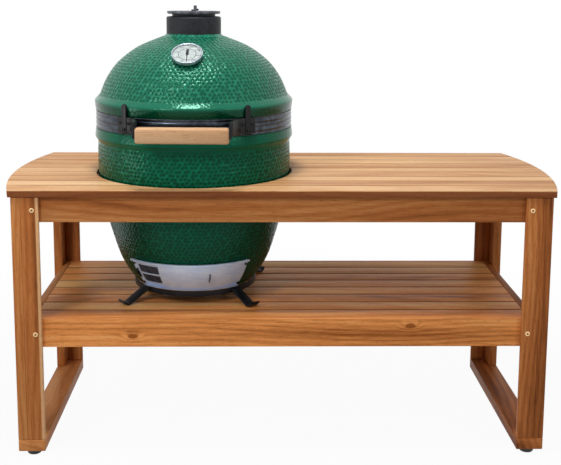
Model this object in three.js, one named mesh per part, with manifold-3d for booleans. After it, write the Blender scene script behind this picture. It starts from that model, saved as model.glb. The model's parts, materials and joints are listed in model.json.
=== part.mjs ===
// A hardwood table with a ceramic kamado grill let down through a round hole in its top.
// Millimetres. +X runs to the right along the table, +Y to the back, +Z up.
// The origin is on the floor, under the middle of the table top.

import * as THREE from "three";
import { mergeVertices } from "three/addons/utils/BufferGeometryUtils.js";
import Module from "manifold-3d";

const wasm = await Module();
wasm.setup();

const degrees = THREE.MathUtils.degToRad;

// Clearances and the finest step of the work
const seat = 0.3; // left between pieces that rest on, or run past, each other
const weld = 0.001; // points closer than this are one point
const overrun = 20; // how far a cutter reaches past what it cuts

// Table top
const tableLength = 1500; // between the crowns of the two bowed ends
const endBow = 43.5; // how far each end bulges beyond its corners
const topBoards = 9;
const topThickness = 19;
const topGap = 1.5;
const arris = 1.5; // eased edge of every board
const bearerWidth = 45; // battens under the cut boards
const bearerHeight = 22;
const bearerMargin = 20; // edge of the hole to the nearest batten

// The grill's place in the table
const holeMargin = 229; // left end of the table to the edge of the hole
const holeGap = 5.5; // between the body and the edge of the hole
const bodyClearance = 0.7; // between the body and the long rails
const jointAboveTop = 154.8; // joint between lid and base above the table top
const holeSteps = 64;
const grillTurn = degrees(-2); // the grill faces slightly to the left

// Frame
const cornerOverhang = 6.5; // top board corner to the outside of a post
const frontOverhang = 4;
const rearOverhang = 4;
const postWidth = 70.5; // across the L-shaped post
const postSideThickness = 25; // the board that faces sideways
const postSideDepth = 68;
const postFaceThickness = 12; // the board that faces forwards or backwards
const runnerHeight = 31.5;
const glideHeight = 16;
const glideRadius = 18.5;
const glideInset = 32; // from the runner's end to the middle of the glide
const glideSteps = 16;
const railThickness = 20; // short rails at the two ends
const apronThickness = 16; // long rails, thin enough to pass in front of the grill
const topRailHeight = 68;

// Shelf
const shelfHeight = 377.5;
const shelfRailHeight = 76;
const slatCount = 8;
const slatThickness = 18;
const slatGap = 4;
const rebate = 8; // step in the shelf's long rails that takes the edge of a slat
const shelfBearerHeight = 30;

// Kamado shells, with heights counted from the joint between lid and base
const shellSteps = 40;
const bodyRadius = 270;
const ceramicWall = 24;
const floorThickness = 28;
const floorCorner = 9; // how far the inner wall's foot is drawn in at the floor
const baseDepth = 471.5;
const domeHeight = 226;
const nestLift = 30; // shelf to the underside of the base
const flangeStep = 1; // plain rim under the steel bands, beyond the body
const flangeHeight = 25.5;
const lipFoot = 3.5; // smooth lip beyond the plain rim, beside the band
const lipCrest = 6.5; // and at its crest
const lipHeight = 24.5; // from the plain rim to the crest
const lipEase = 1.5; // rounded crest
const gasketThickness = 4;
const gasketWidth = 18;
const neckRadius = 62; // collar that the cast cap sits round
const neckHeight = 20;
const throatRadius = 49;

// Outside of the lid from its lip to its collar: shares of bodyRadius and domeHeight
const domeShares = [
  [0.972, 0.292],
  [0.902, 0.487],
  [0.782, 0.682],
  [0.59, 0.858],
  [0.383, 0.967],
  [0.304, 1],
];
const domeSteps = 11;

// Outside of the base from its lip to its foot: shares of bodyRadius and baseDepth
const baseShares = [
  [1, 0.13],
  [1, 0.327],
  [0.952, 0.507],
  [0.862, 0.702],
  [0.772, 0.851],
  [0.65, 0.962],
  [0.55, 1],
];
const baseSteps = 14;

// Steel bands, handle and hinge
const bandThickness = 3;
const bandHeight = 22.5;
const fingerGap = 32.5; // between the glazed lip and the wooden handle
const handleLength = 237;
const handleHeight = 40;
const handleDepth = 32;
const handleDrop = 10; // middle of the handle below the joint
const handleEase = 7;
const bracketThickness = 6;
const bracketHeight = 42;
const bracketDrop = 18; // lower edge of the brackets below the joint
const bracketAngle = degrees(35); // from the front round to each bracket
const bracketFoot = 46; // length of the part that lies on the band
const hookWidth = 16; // upright strap with a round head in front of the lip
const hookHeight = 76;
const pinRadius = 5;
const pinHeadRadius = 9;
const pinHeadLength = 5;
const pinSteps = 12;
const cheekThickness = 5;
const cheekEye = 17; // radius of the round end about the pin
const lidCheekOffset = 22; // hinge middle to the lid's cheek
const baseCheekOffset = 60; // hinge middle to the base's cheek
const hingePlateThickness = 5;
const springWire = 4.5;
const springRadius = 13.5; // middle of the wire about the pin
const springPitch = 6.2;
const springTurns = 4.5;
const springSides = 5;
const springStepsPerTurn = 8;
const springLegSteps = 3;
const springLegRelief = 3; // room for the lid's plate to swing past the upper leg
const lidPlateMargin = 10; // lid plate beyond its cheeks, for the springs' upper legs

// Thermometer
const thermometerShare = 0.674; // distance of its foot from the grill's axis, as a share of bodyRadius
const caseRadius = 41.5;
const caseDepth = 13;
const caseRim = 3;
const dialSteps = 32;
const dialRecess = 5;
const dialThickness = 1.2;
const needleThickness = 0.8;
const needleLength = 32; // the long arm points down when the grill is cold
const needleTail = 20;
const needleWidth = 2.6;
const needleTailWidth = 5;
const needleHub = 3.4;
const glassThickness = 1.2;
const stemRadius = 4;
const stemLength = 75;

// Cast cap, slide disc and daisy wheel
const capRadius = 76;
const capHeight = 53;
const capWall = 11;
const capSteps = 32;
const capEdge = 6; // rounded top edge
const capMouthRadius = 52;
const collarRadius = 60; // raised seat under the slide disc
const collarHeight = 7;
const discRadius = 74;
const discThickness = 4;
const discRim = 3; // how far the disc's edge turns up
const lugRadius = 9;
const lugReach = 79; // disc middle to its pivot
const pivotRadius = 4;
const pivotHeadRadius = 7;
const pivotHeadHeight = 5;
const boltSteps = 12;
const wheelRadius = 50;
const wheelThickness = 3;
const ventCount = 5;
const ventRadius = 11;
const ventPitchRadius = 31;
const ventSteps = 10;
const wheelTabHeight = 15;
const wheelTabWidth = 9;
const wheelScrewRadius = 4;
const wheelScrewHead = 7;
const wheelScrewHeadHeight = 5;

// Draft door on the front of the base
const housingHalfAngle = degrees(46);
const housingTop = 375; // below the joint
const housingBottom = 459;
const housingSheet = 1.5;
const channelDepth = 7;
const channelLip = 5;
const housingStand = 0.8; // housing clear of the ceramic's facets
const arcStep = degrees(6);
const panelFrom = degrees(-22);
const panelTo = degrees(37);
const panelSheet = 1.6;
const tabAngle = degrees(16);
const tabWidth = degrees(0.8);
const tabStand = 9;
const tabHeight = 30;
const windowFrom = degrees(-41);
const windowTo = degrees(0);
const windowHeight = 19;
const windowBar = 6; // between the two rows of windows
const portMargin = 3; // the ceramic port is this much taller than the windows

// Fire parts inside the base
const innerSteps = 32;
const boxDraw = 42; // top of the fire box inside the body's outside
const boxFootShare = 0.63; // foot of the fire box as a share of its top
const boxWall = 21;
const ledgeHeight = 70;
const ledgeThickness = 14;
const ledgeWidth = 24;
const boxHoles = 6;
const boxHoleRadius = 10;
const boxHoleSteps = 8;
const ringHeight = 150;
const ringDraw = 34; // fire ring inside the body's outside
const ringBelowJoint = 42.9;
const ringWall = 20;
const grateClearance = 2;
const grateThickness = 11;
const grateSlots = 7;
const grateSlotWidth = 9;
const gratePitch = 20;
const grateBorder = 16;
const gridDraw = 25; // rim of the grid inside the shell's mouth
const gridRod = 3; // radius of the rim and cross rods
const gridBar = 4.5; // width of a square bar
const gridBars = 17;
const gridPitchShare = 0.1126; // pitch of the bars as a share of the rim's radius
const gridRimSides = 6;

// Steel stand under the base
const nestTurn = degrees(-3);
const nestLegs = 4;
const nestRingHeight = 15;
const nestSheet = 5;
const nestStrapWidth = 30;
const nestFootReach = 240; // axis to where a leg bends at the shelf
const nestToeLength = 18;
const nestToeRise = 11;

// Finishes as seen in daylight
const finishes = {
  hardwood: { color: 0xb57f4e, roughness: 0.62, metalness: 0 },
  paleWood: { color: 0xd0a67c, roughness: 0.6, metalness: 0 },
  glaze: { color: 0x1f6d4e, roughness: 0.22, metalness: 0 },
  fireclay: { color: 0xb8a68f, roughness: 0.95, metalness: 0 },
  felt: { color: 0x3a3a38, roughness: 1, metalness: 0 },
  bandSteel: { color: 0x5d6168, roughness: 0.35, metalness: 0.9 },
  brightSteel: { color: 0xb9c0c8, roughness: 0.32, metalness: 1 },
  blackSteel: { color: 0x1c1d20, roughness: 0.5, metalness: 0.7 },
  springSteel: { color: 0x8a8d91, roughness: 0.35, metalness: 1 },
  castIron: { color: 0x34373c, roughness: 0.75, metalness: 0.5 },
  dialWhite: { color: 0xe9eaea, roughness: 0.5, metalness: 0 },
  needleBlack: { color: 0x111111, roughness: 0.5, metalness: 0 },
  glass: { color: 0xf2f7f7, roughness: 0.05, metalness: 0 },
  glideBlack: { color: 0x141414, roughness: 0.6, metalness: 0 },
};

// Sizes that follow from the ones above
const jointHeight = shelfHeight + seat + nestLift + baseDepth;
const tableHeight = jointHeight - jointAboveTop;
const railReach = apronThickness + seat + postFaceThickness + frontOverhang;
const tableDepth = 2 * (bodyRadius + bodyClearance + railReach);
const halfLength = tableLength / 2;
const halfDepth = tableDepth / 2;
const holeRadius = bodyRadius + holeGap;
const flangeRadius = bodyRadius + flangeStep;
const thermometerRadius = thermometerShare * bodyRadius;
const boxHeight = baseDepth - floorThickness - ringHeight - ringBelowJoint - 2 * seat;
const boxTopRadius = bodyRadius - boxDraw;
const boxFootRadius = boxFootShare * boxTopRadius;
const ringRadius = bodyRadius - ringDraw;
const grillOffset = holeMargin + holeRadius - halfLength; // the grill's axis along the table
const topUnderside = tableHeight - topThickness;
const frameHalfLength = halfLength - endBow - cornerOverhang;
const frameFront = frontOverhang - halfDepth;
const frameBack = halfDepth - rearOverhang;
const runnerTop = glideHeight + seat + runnerHeight;
const sideInner = frameHalfLength - postSideThickness;
const railFront = frameFront + postFaceThickness + seat;
const railBack = frameBack - postFaceThickness - seat;
const handleReach = flangeRadius + lipCrest + fingerGap + handleDepth;
const bandInner = flangeRadius + seat;
const bandOuter = bandInner + bandThickness;
const rimInner = flangeRadius - ceramicWall;
const gridRadius = rimInner - gridDraw;
const gridPitch = gridPitchShare * gridRadius;

// A mesh of the given finish, added to its group
function add(group, name, geometry, finish) {
  const mesh = new THREE.Mesh(geometry, new THREE.MeshStandardMaterial(finishes[finish]));
  mesh.name = name;
  group.add(mesh);
  return mesh;
}

// Joining and cutting
function solidOf(geometry) {
  const bare = geometry.clone();
  bare.deleteAttribute("normal");
  bare.deleteAttribute("uv");
  const merged = mergeVertices(bare, weld);
  const vertProperties = merged.getAttribute("position").array;
  const triVerts = new Uint32Array(merged.index.array);
  return new wasm.Manifold(new wasm.Mesh({ numProp: 3, vertProperties, triVerts }));
}

function geometryOf(solid) {
  const mesh = solid.getMesh();
  const geometry = new THREE.BufferGeometry();
  geometry.setAttribute("position", new THREE.BufferAttribute(mesh.vertProperties, 3));
  geometry.setIndex(new THREE.BufferAttribute(mesh.triVerts, 1));
  geometry.computeVertexNormals();
  return geometry;
}

function join(...geometries) {
  return geometryOf(geometries.map(solidOf).reduce((all, one) => all.add(one)));
}

function cut(geometry, ...cutters) {
  return geometryOf(cutters.map(solidOf).reduce((rest, one) => rest.subtract(one), solidOf(geometry)));
}

function common(first, second) {
  return geometryOf(solidOf(first).intersect(solidOf(second)));
}

// A plain block between two corners
function block(low, high) {
  const size = high.map((value, axis) => value - low[axis]);
  const middle = high.map((value, axis) => (value + low[axis]) / 2);
  return new THREE.BoxGeometry(...size).translate(...middle);
}

// An upright prism of a plan outline
function prism(points, bottom, top) {
  const shape = new THREE.Shape(points.map(([x, y]) => new THREE.Vector2(x, y)));
  const flat = new THREE.ExtrudeGeometry(shape, { depth: top - bottom, bevelEnabled: false });
  return flat.translate(0, 0, bottom);
}

// A prism whose outline is drawn in the Y-Z plane and whose thickness runs along X
function sidePrism(points, left, right) {
  const bar = prism(points, 0, right - left);
  const [x, y, z] = [0, 1, 2].map((axis) => new THREE.Vector3().setComponent(axis, 1));
  return bar.applyMatrix4(new THREE.Matrix4().makeBasis(y, z, x)).translate(left, 0, 0);
}

function circle(radius, steps, centreX = 0, centreY = 0) {
  return Array.from({ length: steps }, (_, i) => {
    const angle = (i / steps) * 2 * Math.PI;
    return [centreX + radius * Math.cos(angle), centreY + radius * Math.sin(angle)];
  });
}

// A board with eased long edges that runs along X, Y or Z between two corners
function board(low, high, along) {
  const [u, v, w] = { x: [1, 2, 0], y: [2, 0, 1], z: [0, 1, 2] }[along];
  const [width, height] = [high[u] - low[u], high[v] - low[v]];
  const outline = [
    [arris, 0],
    [width - arris, 0],
    [width, arris],
    [width, height - arris],
    [width - arris, height],
    [arris, height],
    [0, height - arris],
    [0, arris],
  ];
  const [a, b, c] = [u, v, w].map((axis) => new THREE.Vector3().setComponent(axis, 1));
  const bar = prism(outline, 0, high[w] - low[w]);
  return bar.applyMatrix4(new THREE.Matrix4().makeBasis(a, b, c)).translate(...low);
}

// A full turn of an outline of [radius, height] points about the Z axis
function turned(outline, steps) {
  const points = outline.map(([radius, height]) => new THREE.Vector2(radius, height));
  return new THREE.LatheGeometry(points, steps).rotateX(Math.PI / 2);
}

// Part of a turn, closed at both ends. Angles are counted from the front round to the right,
// and the outline runs anticlockwise with radius to the right and height upwards.
function turnedPart(outline, from, to) {
  const steps = Math.max(1, Math.round((to - from) / arcStep));
  const count = outline.length;
  const positions = [];
  for (let i = 0; i <= steps; i += 1) {
    const angle = from + ((to - from) * i) / steps;
    for (const [radius, height] of outline) {
      positions.push(radius * Math.sin(angle), -radius * Math.cos(angle), height);
    }
  }
  const index = [];
  for (let i = 0; i < steps; i += 1) {
    for (let j = 0; j < count; j += 1) {
      const next = (j + 1) % count;
      const [a, b] = [i * count + j, i * count + next];
      const [c, d] = [b + count, a + count];
      index.push(a, d, b, b, d, c);
    }
  }
  const flat = outline.map(([radius, height]) => new THREE.Vector2(radius, height));
  const last = steps * count;
  for (const [a, b, c] of THREE.ShapeUtils.triangulateShape(flat, [])) {
    index.push(a, b, c, last + a, last + c, last + b);
  }
  const geometry = new THREE.BufferGeometry();
  geometry.setAttribute("position", new THREE.Float32BufferAttribute(positions, 3));
  return geometry.setIndex(index);
}

// The two sides of a bent strap: its middle line moved out by half its thickness
function strapOutline(line, thickness) {
  const points = line.map(([x, y]) => new THREE.Vector2(x, y));
  const side = (sign) =>
    points.map((point, i) => {
      const before = points[Math.max(i - 1, 0)];
      const after = points[Math.min(i + 1, points.length - 1)];
      const arrive = (i > 0 ? point.clone().sub(before) : after.clone().sub(point)).normalize();
      const leave = (i < points.length - 1 ? after.clone().sub(point) : arrive.clone()).normalize();
      const bend = arrive.clone().add(leave).normalize();
      const reach = (sign * thickness) / 2 / bend.dot(leave);
      return [point.x - bend.y * reach, point.y + bend.x * reach];
    });
  return [...side(-1), ...side(1).reverse()];
}

// A smooth curve through share points, sampled evenly
function curveThrough(shares, radius, height, steps) {
  const points = shares.map(([r, z]) => new THREE.Vector2(r * radius, z * height));
  return new THREE.SplineCurve(points).getSpacedPoints(steps).map(({ x, y }) => [x, y]);
}

// The smooth lip beside a plain rim: a collar that widens to a crest. Side is 1 above the joint.
function lip(side) {
  const crest = flangeHeight + lipHeight;
  const outline = [
    [flangeRadius + lipFoot, flangeHeight + lipEase],
    [flangeRadius + lipCrest, crest - lipEase],
    [flangeRadius + lipCrest - lipEase, crest + lipEase],
  ];
  return outline.map(([radius, height]) => [radius, side * height]);
}

// A curve drawn inwards by the wall, towards the left of its direction of travel
function drawnIn(curve, wall) {
  return curve.map((point, i) => {
    const [r0, z0] = curve[Math.max(i - 1, 0)];
    const [r1, z1] = curve[Math.min(i + 1, curve.length - 1)];
    const length = Math.hypot(r1 - r0, z1 - z0);
    return [point[0] - (wall * (z1 - z0)) / length, point[1] + (wall * (r1 - r0)) / length];
  });
}

// Radius of a curve of [radius, height] points at a height
function radiusAt(curve, height) {
  for (let i = 1; i < curve.length; i += 1) {
    const [r0, z0] = curve[i - 1];
    const [r1, z1] = curve[i];
    if ((height - z0) * (height - z1) <= 0) return r0 + ((r1 - r0) * (height - z0)) / (z1 - z0);
  }
  return curve[0][0];
}

// Table top: nine boards with bowed ends, two of them whole and seven cut by the hole
function tableTop(table) {
  const pitch = (tableDepth + topGap) / topBoards;
  const bowRadius = (halfDepth ** 2 + endBow ** 2) / (2 * endBow);
  const endAt = (y) => halfLength - bowRadius + Math.sqrt(bowRadius ** 2 - y ** 2);
  const hole = prism(circle(holeRadius, holeSteps, grillOffset), 0, tableHeight + overrun);
  const endSteps = 3;
  const boards = Array.from({ length: topBoards }, (_, i) => {
    const front = i * pitch - halfDepth;
    const back = front + pitch - topGap;
    const depths = Array.from({ length: endSteps + 1 }, (_, j) => front + ((back - front) * j) / endSteps);
    const right = depths.map((y) => [endAt(y), y]);
    const left = depths.toReversed().map((y) => [-endAt(y), y]);
    return cut(prism([...right, ...left], topUnderside, tableHeight), hole);
  });
  add(table, "top_board_front", boards[0], "hardwood");
  add(table, "top_board_rear", boards[topBoards - 1], "hardwood");

  const inner = boards.slice(1, -1);
  const bearerLow = topUnderside - bearerHeight;
  const bearerBack = railBack - apronThickness - seat;
  const bearerFront = railFront + apronThickness + seat;
  const bearer = (x) => block([x, bearerFront, bearerLow], [x + bearerWidth, bearerBack, topUnderside]);
  const holeLeft = grillOffset - holeRadius;
  const holeRight = grillOffset + holeRadius;
  const bayMiddle = (holeRight + sideInner) / 2 - bearerWidth / 2;
  const sides = {
    top_panel_left: [-halfLength - overrun, grillOffset, [holeLeft - bearerWidth - bearerMargin]],
    top_panel_right: [grillOffset, halfLength + overrun, [holeRight + bearerMargin, bayMiddle]],
  };
  for (const [name, [from, to, bearers]] of Object.entries(sides)) {
    const half = block([from, -halfDepth - overrun, 0], [to, halfDepth + overrun, tableHeight + overrun]);
    const lengths = inner.map((piece) => common(piece, half));
    add(table, name, join(...lengths, ...bearers.map(bearer)), "hardwood");
  }
}

// Posts, runners, glides and rails
function tableFrame(table) {
  const postTop = topUnderside - seat;
  const faceEnd = frameHalfLength - postWidth;
  for (const [side, sx] of Object.entries({ left: -1, right: 1 })) {
    const across = (inner, outer) => (sx > 0 ? [inner, outer] : [-outer, -inner]);
    const [x0, x1] = across(faceEnd, frameHalfLength);
    add(
      table,
      `runner_${side}`,
      board([x0, frameFront, glideHeight + seat], [x1, frameBack, runnerTop], "y"),
      "hardwood",
    );
    const ends = { front: [frameFront, 1], rear: [frameBack, -1] };
    for (const [end, [face, sy]] of Object.entries(ends)) {
      const depth = (y) => (sy > 0 ? [face, face + y] : [face - y, face]);
      const boardOf = ([a0, a1], [b0, b1]) =>
        board([a0, b0, runnerTop + seat], [a1, b1, postTop], "z");
      const sideBoard = boardOf(across(sideInner, frameHalfLength), depth(postSideDepth));
      const faceBoard = boardOf(across(faceEnd, sideInner + arris), depth(postFaceThickness));
      add(table, `post_${end}_${side}`, join(sideBoard, faceBoard), "hardwood");

      const glide = turned(
        [
          [0, 0],
          [glideRadius - arris, 0],
          [glideRadius, arris],
          [glideRadius, glideHeight],
          [0, glideHeight],
        ],
        glideSteps,
      );
      const glidePiece = add(table, `glide_${end}_${side}`, glide, "glideBlack");
      glidePiece.position.set((x0 + x1) / 2, face + sy * glideInset, 0);
    }

    const [r0, r1] = across(sideInner - seat - railThickness, sideInner - seat);
    const [y0, y1] = [railFront + apronThickness + seat, railBack - apronThickness - seat];
    add(
      table,
      `top_rail_${side}`,
      board([r0, y0, topUnderside - seat - topRailHeight], [r1, y1, topUnderside - seat], "y"),
      "hardwood",
    );
    add(
      table,
      `shelf_rail_${side}`,
      board([r0, y0, shelfHeight - shelfRailHeight], [r1, y1, shelfHeight], "y"),
      "hardwood",
    );
  }

  const reach = sideInner - seat;
  const longRails = {
    front: [railFront, railFront + apronThickness, 1],
    rear: [railBack - apronThickness, railBack, -1],
  };
  for (const [end, [y0, y1, sy]] of Object.entries(longRails)) {
    const top = topUnderside - seat;
    add(
      table,
      `top_apron_${end}`,
      board([-reach, y0, top - topRailHeight], [reach, y1, top], "x"),
      "hardwood",
    );
    const apron = board([-reach, y0, shelfHeight - shelfRailHeight], [reach, y1, shelfHeight], "x");
    const stepFrom = sy > 0 ? y1 - rebate : y0 - overrun;
    const stepTo = sy > 0 ? y1 + overrun : y0 + rebate;
    const step = block(
      [seat + railThickness - reach, stepFrom, shelfHeight - slatThickness - seat],
      [reach - railThickness - seat, stepTo, shelfHeight + overrun],
    );
    add(table, `shelf_apron_${end}`, cut(apron, step), "hardwood");
  }
}

// Shelf: eight slats in the rebates of the long rails, with a bearer under their middle
function shelf(table) {
  const reach = sideInner - railThickness - 3 * seat;
  const front = railFront + apronThickness - rebate + seat;
  const back = railBack - apronThickness + rebate - seat;
  const pitch = (back - front + slatGap) / slatCount;
  const underside = shelfHeight - slatThickness;
  for (let i = 0; i < slatCount; i += 1) {
    const y = front + i * pitch;
    const slat = board([-reach, y, underside], [reach, y + pitch - slatGap, shelfHeight], "x");
    add(table, `shelf_slat_${i + 1}`, slat, "hardwood");
  }
  const top = underside - seat;
  const half = bearerWidth / 2;
  const low = [-half, railFront + apronThickness + seat, top - shelfBearerHeight];
  const high = [half, railBack - apronThickness - seat, top];
  add(table, "shelf_bearer", board(low, high, "y"), "hardwood");
}

// Outside of the base, from its lip down to its foot, with heights below the joint
const baseCurve = curveThrough(baseShares, bodyRadius, -baseDepth, baseSteps);
const domeCurve = curveThrough(domeShares, bodyRadius, domeHeight, domeSteps);
const baseRimTop = -gasketThickness / 2 - seat;
const domeRimLow = gasketThickness / 2 + seat;
const windowMiddle = -(housingTop + housingBottom) / 2 + windowBar / 2;

// Sector of a ring that cuts a window of the given height range
function windowCutter(low, high, from, to) {
  const inner = boxFootRadius / 2;
  const outer = bodyRadius;
  const outline = [
    [inner, low],
    [outer, low],
    [outer, high],
    [inner, high],
  ];
  return turnedPart(outline, from, to);
}

const portLow = windowMiddle - windowBar / 2 - windowHeight - portMargin;
const portHigh = windowMiddle + windowBar / 2 + windowHeight + portMargin;

// Ceramic base with its draft port
function baseShell(grill) {
  const outside = [
    [0, -baseDepth],
    ...baseCurve.toReversed(),
    ...lip(-1).toReversed(),
    [flangeRadius, -flangeHeight],
    [flangeRadius, baseRimTop],
  ];
  const floor = floorThickness - baseDepth;
  const wall = drawnIn(baseCurve.toReversed(), ceramicWall).filter(([, z]) => z > floor + portMargin);
  const bowl = wall.filter((_, i) => i % 2 === 0);
  const inside = [
    [rimInner, baseRimTop],
    [rimInner, -flangeHeight],
    ...bowl.toReversed(),
    [bowl[0][0] - floorCorner, floor],
    [0, floor],
  ];
  const shell = turned([...outside, ...inside], shellSteps);
  const port = windowCutter(portLow, portHigh, windowFrom - tabWidth, windowTo + tabWidth);
  add(grill, "base_shell", cut(shell, port), "glaze");
}

// Ceramic lid with its collar, throat and thermometer hole
function domeShell(lid, stemHole) {
  const outside = [
    [flangeRadius, domeRimLow],
    [flangeRadius, flangeHeight],
    ...lip(1),
    ...domeCurve,
    [neckRadius, domeHeight],
    [neckRadius, domeHeight + neckHeight],
    [throatRadius, domeHeight + neckHeight],
  ];
  const vault = drawnIn(domeCurve, ceramicWall).filter(([r], i) => i % 2 === 0 && r > throatRadius);
  const crown = vault[vault.length - 1][1];
  const inside = [
    [throatRadius, crown],
    ...vault.toReversed(),
    [rimInner, flangeHeight],
    [rimInner, domeRimLow],
    [flangeRadius, domeRimLow],
  ];
  add(lid, "dome_shell", cut(turned([...outside, ...inside], shellSteps), stemHole), "glaze");
}

// A flat ring of rectangular section
function ring(inner, outer, low, high, steps) {
  return turned(
    [
      [inner, low],
      [outer, low],
      [outer, high],
      [inner, high],
      [inner, low],
    ],
    steps,
  );
}

function bandsAndGasket(grill, lid) {
  const margin = flangeHeight - bandHeight - seat;
  const low = -flangeHeight + margin;
  add(grill, "lower_band", ring(bandInner, bandOuter, low, low + bandHeight, shellSteps), "bandSteel");
  const high = flangeHeight - margin;
  add(lid, "upper_band", ring(bandInner, bandOuter, high - bandHeight, high, shellSteps), "bandSteel");
  const half = gasketThickness / 2;
  const felt = ring(rimInner + seat, rimInner + seat + gasketWidth, -half, half, shellSteps);
  add(grill, "rim_gasket", felt, "felt");
}

// Wooden handle bar and the two bent steel brackets that carry it
function handle(lid) {
  const half = handleLength / 2;
  const barBack = handleDepth - handleReach;
  const low = -handleDrop - handleHeight / 2;
  const outline = [
    [handleEase - handleReach, low],
    [barBack - handleEase / 2, low],
    [barBack, low + handleEase / 2],
    [barBack, low + handleHeight - handleEase / 2],
    [barBack - handleEase / 2, low + handleHeight],
    [handleEase - handleReach, low + handleHeight],
    [-handleReach, low + handleHeight - handleEase],
    [-handleReach, low + handleEase],
  ];
  add(lid, "handle_bar", sidePrism(outline, -half, half), "paleWood");

  const plateRadius = bandOuter + seat + bracketThickness / 2;
  const footLow = -bracketDrop;
  const footAngle = bracketFoot / plateRadius / 2;
  for (const [side, sx] of Object.entries({ left: -1, right: 1 })) {
    const at = (angle, radius) => [sx * radius * Math.sin(angle), -radius * Math.cos(angle)];
    const faceted = plateRadius + bandThickness / 2;
    const [footX, footY] = at(bracketAngle - footAngle, faceted);
    const line = [
      at(bracketAngle + footAngle, faceted),
      at(bracketAngle, faceted),
      [footX, footY],
      [sx * (half + seat + bracketThickness / 2), (footY - handleReach) / 2],
      [sx * (half + seat + bracketThickness / 2), handleEase - handleReach],
    ];
    const strap = prism(strapOutline(line, bracketThickness), footLow, footLow + bracketHeight);
    const headHeight = footLow + hookHeight;
    const hookOutline = [
      [-hookWidth / 2, footLow],
      [hookWidth / 2, footLow],
      ...Array.from({ length: boltSteps / 2 + 1 }, (_, i) => {
        const angle = (i / (boltSteps / 2)) * Math.PI;
        const rise = (hookWidth / 2) * Math.sin(angle);
        return [(hookWidth / 2) * Math.cos(angle), headHeight - hookWidth / 2 + rise];
      }),
    ];
    const hookRadius = flangeRadius + lipCrest + seat;
    const hook = prism(hookOutline, 0, bracketThickness)
      .rotateX(Math.PI / 2)
      .translate(0, -hookRadius, 0)
      .rotateZ(sx * bracketAngle);
    add(lid, `handle_bracket_${side}`, join(strap, hook), "blackSteel");
  }
}

// Spring hinge behind the bands
const springSpan = springTurns * springPitch + springWire;
const bracketHalf = baseCheekOffset + cheekThickness;
const hingeHalf = bracketHalf + seat + pinHeadLength;
// The hinge stands as far back as the handle stands forward, seen square to the table
const rearReach = handleReach + (handleLength / 2 - bracketHalf) * Math.tan(Math.abs(grillTurn));
const pinBack = rearReach - cheekEye;

// Leg, coil and leg of one torsion spring, from the lid's plate to the base's plate.
// The coil starts at a distance from the hinge's middle and winds outwards on its own side.
class SpringLine extends THREE.Curve {
  constructor(side, start, upperLeg, lowerLeg) {
    super();
    Object.assign(this, { side, start, upperLeg, lowerLeg });
  }
  getPoint(t) {
    const turnLength = 2 * Math.PI * springRadius;
    const coil = springTurns * turnLength;
    const run = t * (this.upperLeg + coil + this.lowerLeg);
    const turns = THREE.MathUtils.clamp((run - this.upperLeg) / turnLength, 0, springTurns);
    const before = Math.max(this.upperLeg - run, 0);
    const after = Math.max(run - this.upperLeg - coil, 0);
    const angle = Math.PI / 2 - turns * 2 * Math.PI;
    const x = this.side * (this.start + turns * springPitch);
    const y = pinBack + springRadius * Math.cos(angle) - before - after;
    return new THREE.Vector3(x, y, springRadius * Math.sin(angle));
  }
}

function hinge(grill, lid) {
  const plateFront = bandOuter + seat;
  const plateBack = plateFront + hingePlateThickness;
  const lowBand = [-flangeHeight, -domeRimLow];
  const highBand = [domeRimLow, flangeHeight];
  const eye = circle(cheekEye, pinSteps, pinBack, 0);
  const pinHole = sidePrism(circle(pinRadius + seat, pinSteps, pinBack, 0), -hingeHalf, hingeHalf);

  // A cheek is a tapered ear from the plate to a round eye about the pin
  function cheek([low, high], x, thickness) {
    const ear = [
      [plateFront, low],
      [pinBack, -cheekEye],
      [pinBack, cheekEye],
      [plateFront, high],
    ];
    return join(sidePrism(ear, x, x + thickness), sidePrism(eye, x, x + thickness));
  }
  function bracket(band, offset, margin) {
    const width = offset + cheekThickness;
    const plate = block(
      [-width - margin, plateFront, band[0]],
      [width + margin, plateBack, band[1]],
    );
    const ears = [-width, offset].map((x) => cheek(band, x, cheekThickness));
    return cut(join(plate, ...ears), pinHole);
  }
  add(grill, "hinge_base_bracket", bracket(lowBand, baseCheekOffset, 0), "blackSteel");
  const lidBracket = bracket(highBand, lidCheekOffset, lidPlateMargin);
  add(lid, "hinge_lid_bracket", lidBracket, "blackSteel");

  const shaftHalf = bracketHalf + seat;
  const shaft = sidePrism(circle(pinRadius, pinSteps, pinBack, 0), -shaftHalf, shaftHalf);
  const heads = [-hingeHalf, shaftHalf].map((x) =>
    sidePrism(circle(pinHeadRadius, pinSteps, pinBack, 0), x, x + pinHeadLength),
  );
  add(grill, "hinge_pin", join(shaft, ...heads), "brightSteel");

  const lowerLeg = pinBack - plateBack - seat;
  const upperLeg = lowerLeg - springLegRelief;
  const bay = baseCheekOffset - lidCheekOffset - cheekThickness;
  const start = lidCheekOffset + cheekThickness + (bay - springSpan + springWire) / 2;
  const section = new THREE.Shape(
    circle(springWire / 2, springSides).map(([x, y]) => new THREE.Vector2(x, y)),
  );
  const steps = springTurns * springStepsPerTurn + 2 * springLegSteps;
  for (const [side, sx] of Object.entries({ left: -1, right: 1 })) {
    const line = new SpringLine(sx, start, upperLeg, lowerLeg);
    const wire = new THREE.ExtrudeGeometry(section, { steps, extrudePath: line });
    add(grill, `hinge_spring_${side}`, wire, "springSteel");
    console.log(`hinge_spring_${side}: least gap to itself ${leastGap(line, steps).toFixed(2)} mm`);
  }
}

// Least gap between turns of a wound wire that are more than half a turn apart
function leastGap(line, steps) {
  const points = line.getSpacedPoints(steps);
  const apart = springStepsPerTurn / 2 + 1;
  let least = Infinity;
  points.forEach((point, i) => {
    points.slice(i + apart).forEach((other) => {
      least = Math.min(least, point.distanceTo(other));
    });
  });
  return least - springWire;
}

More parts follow.
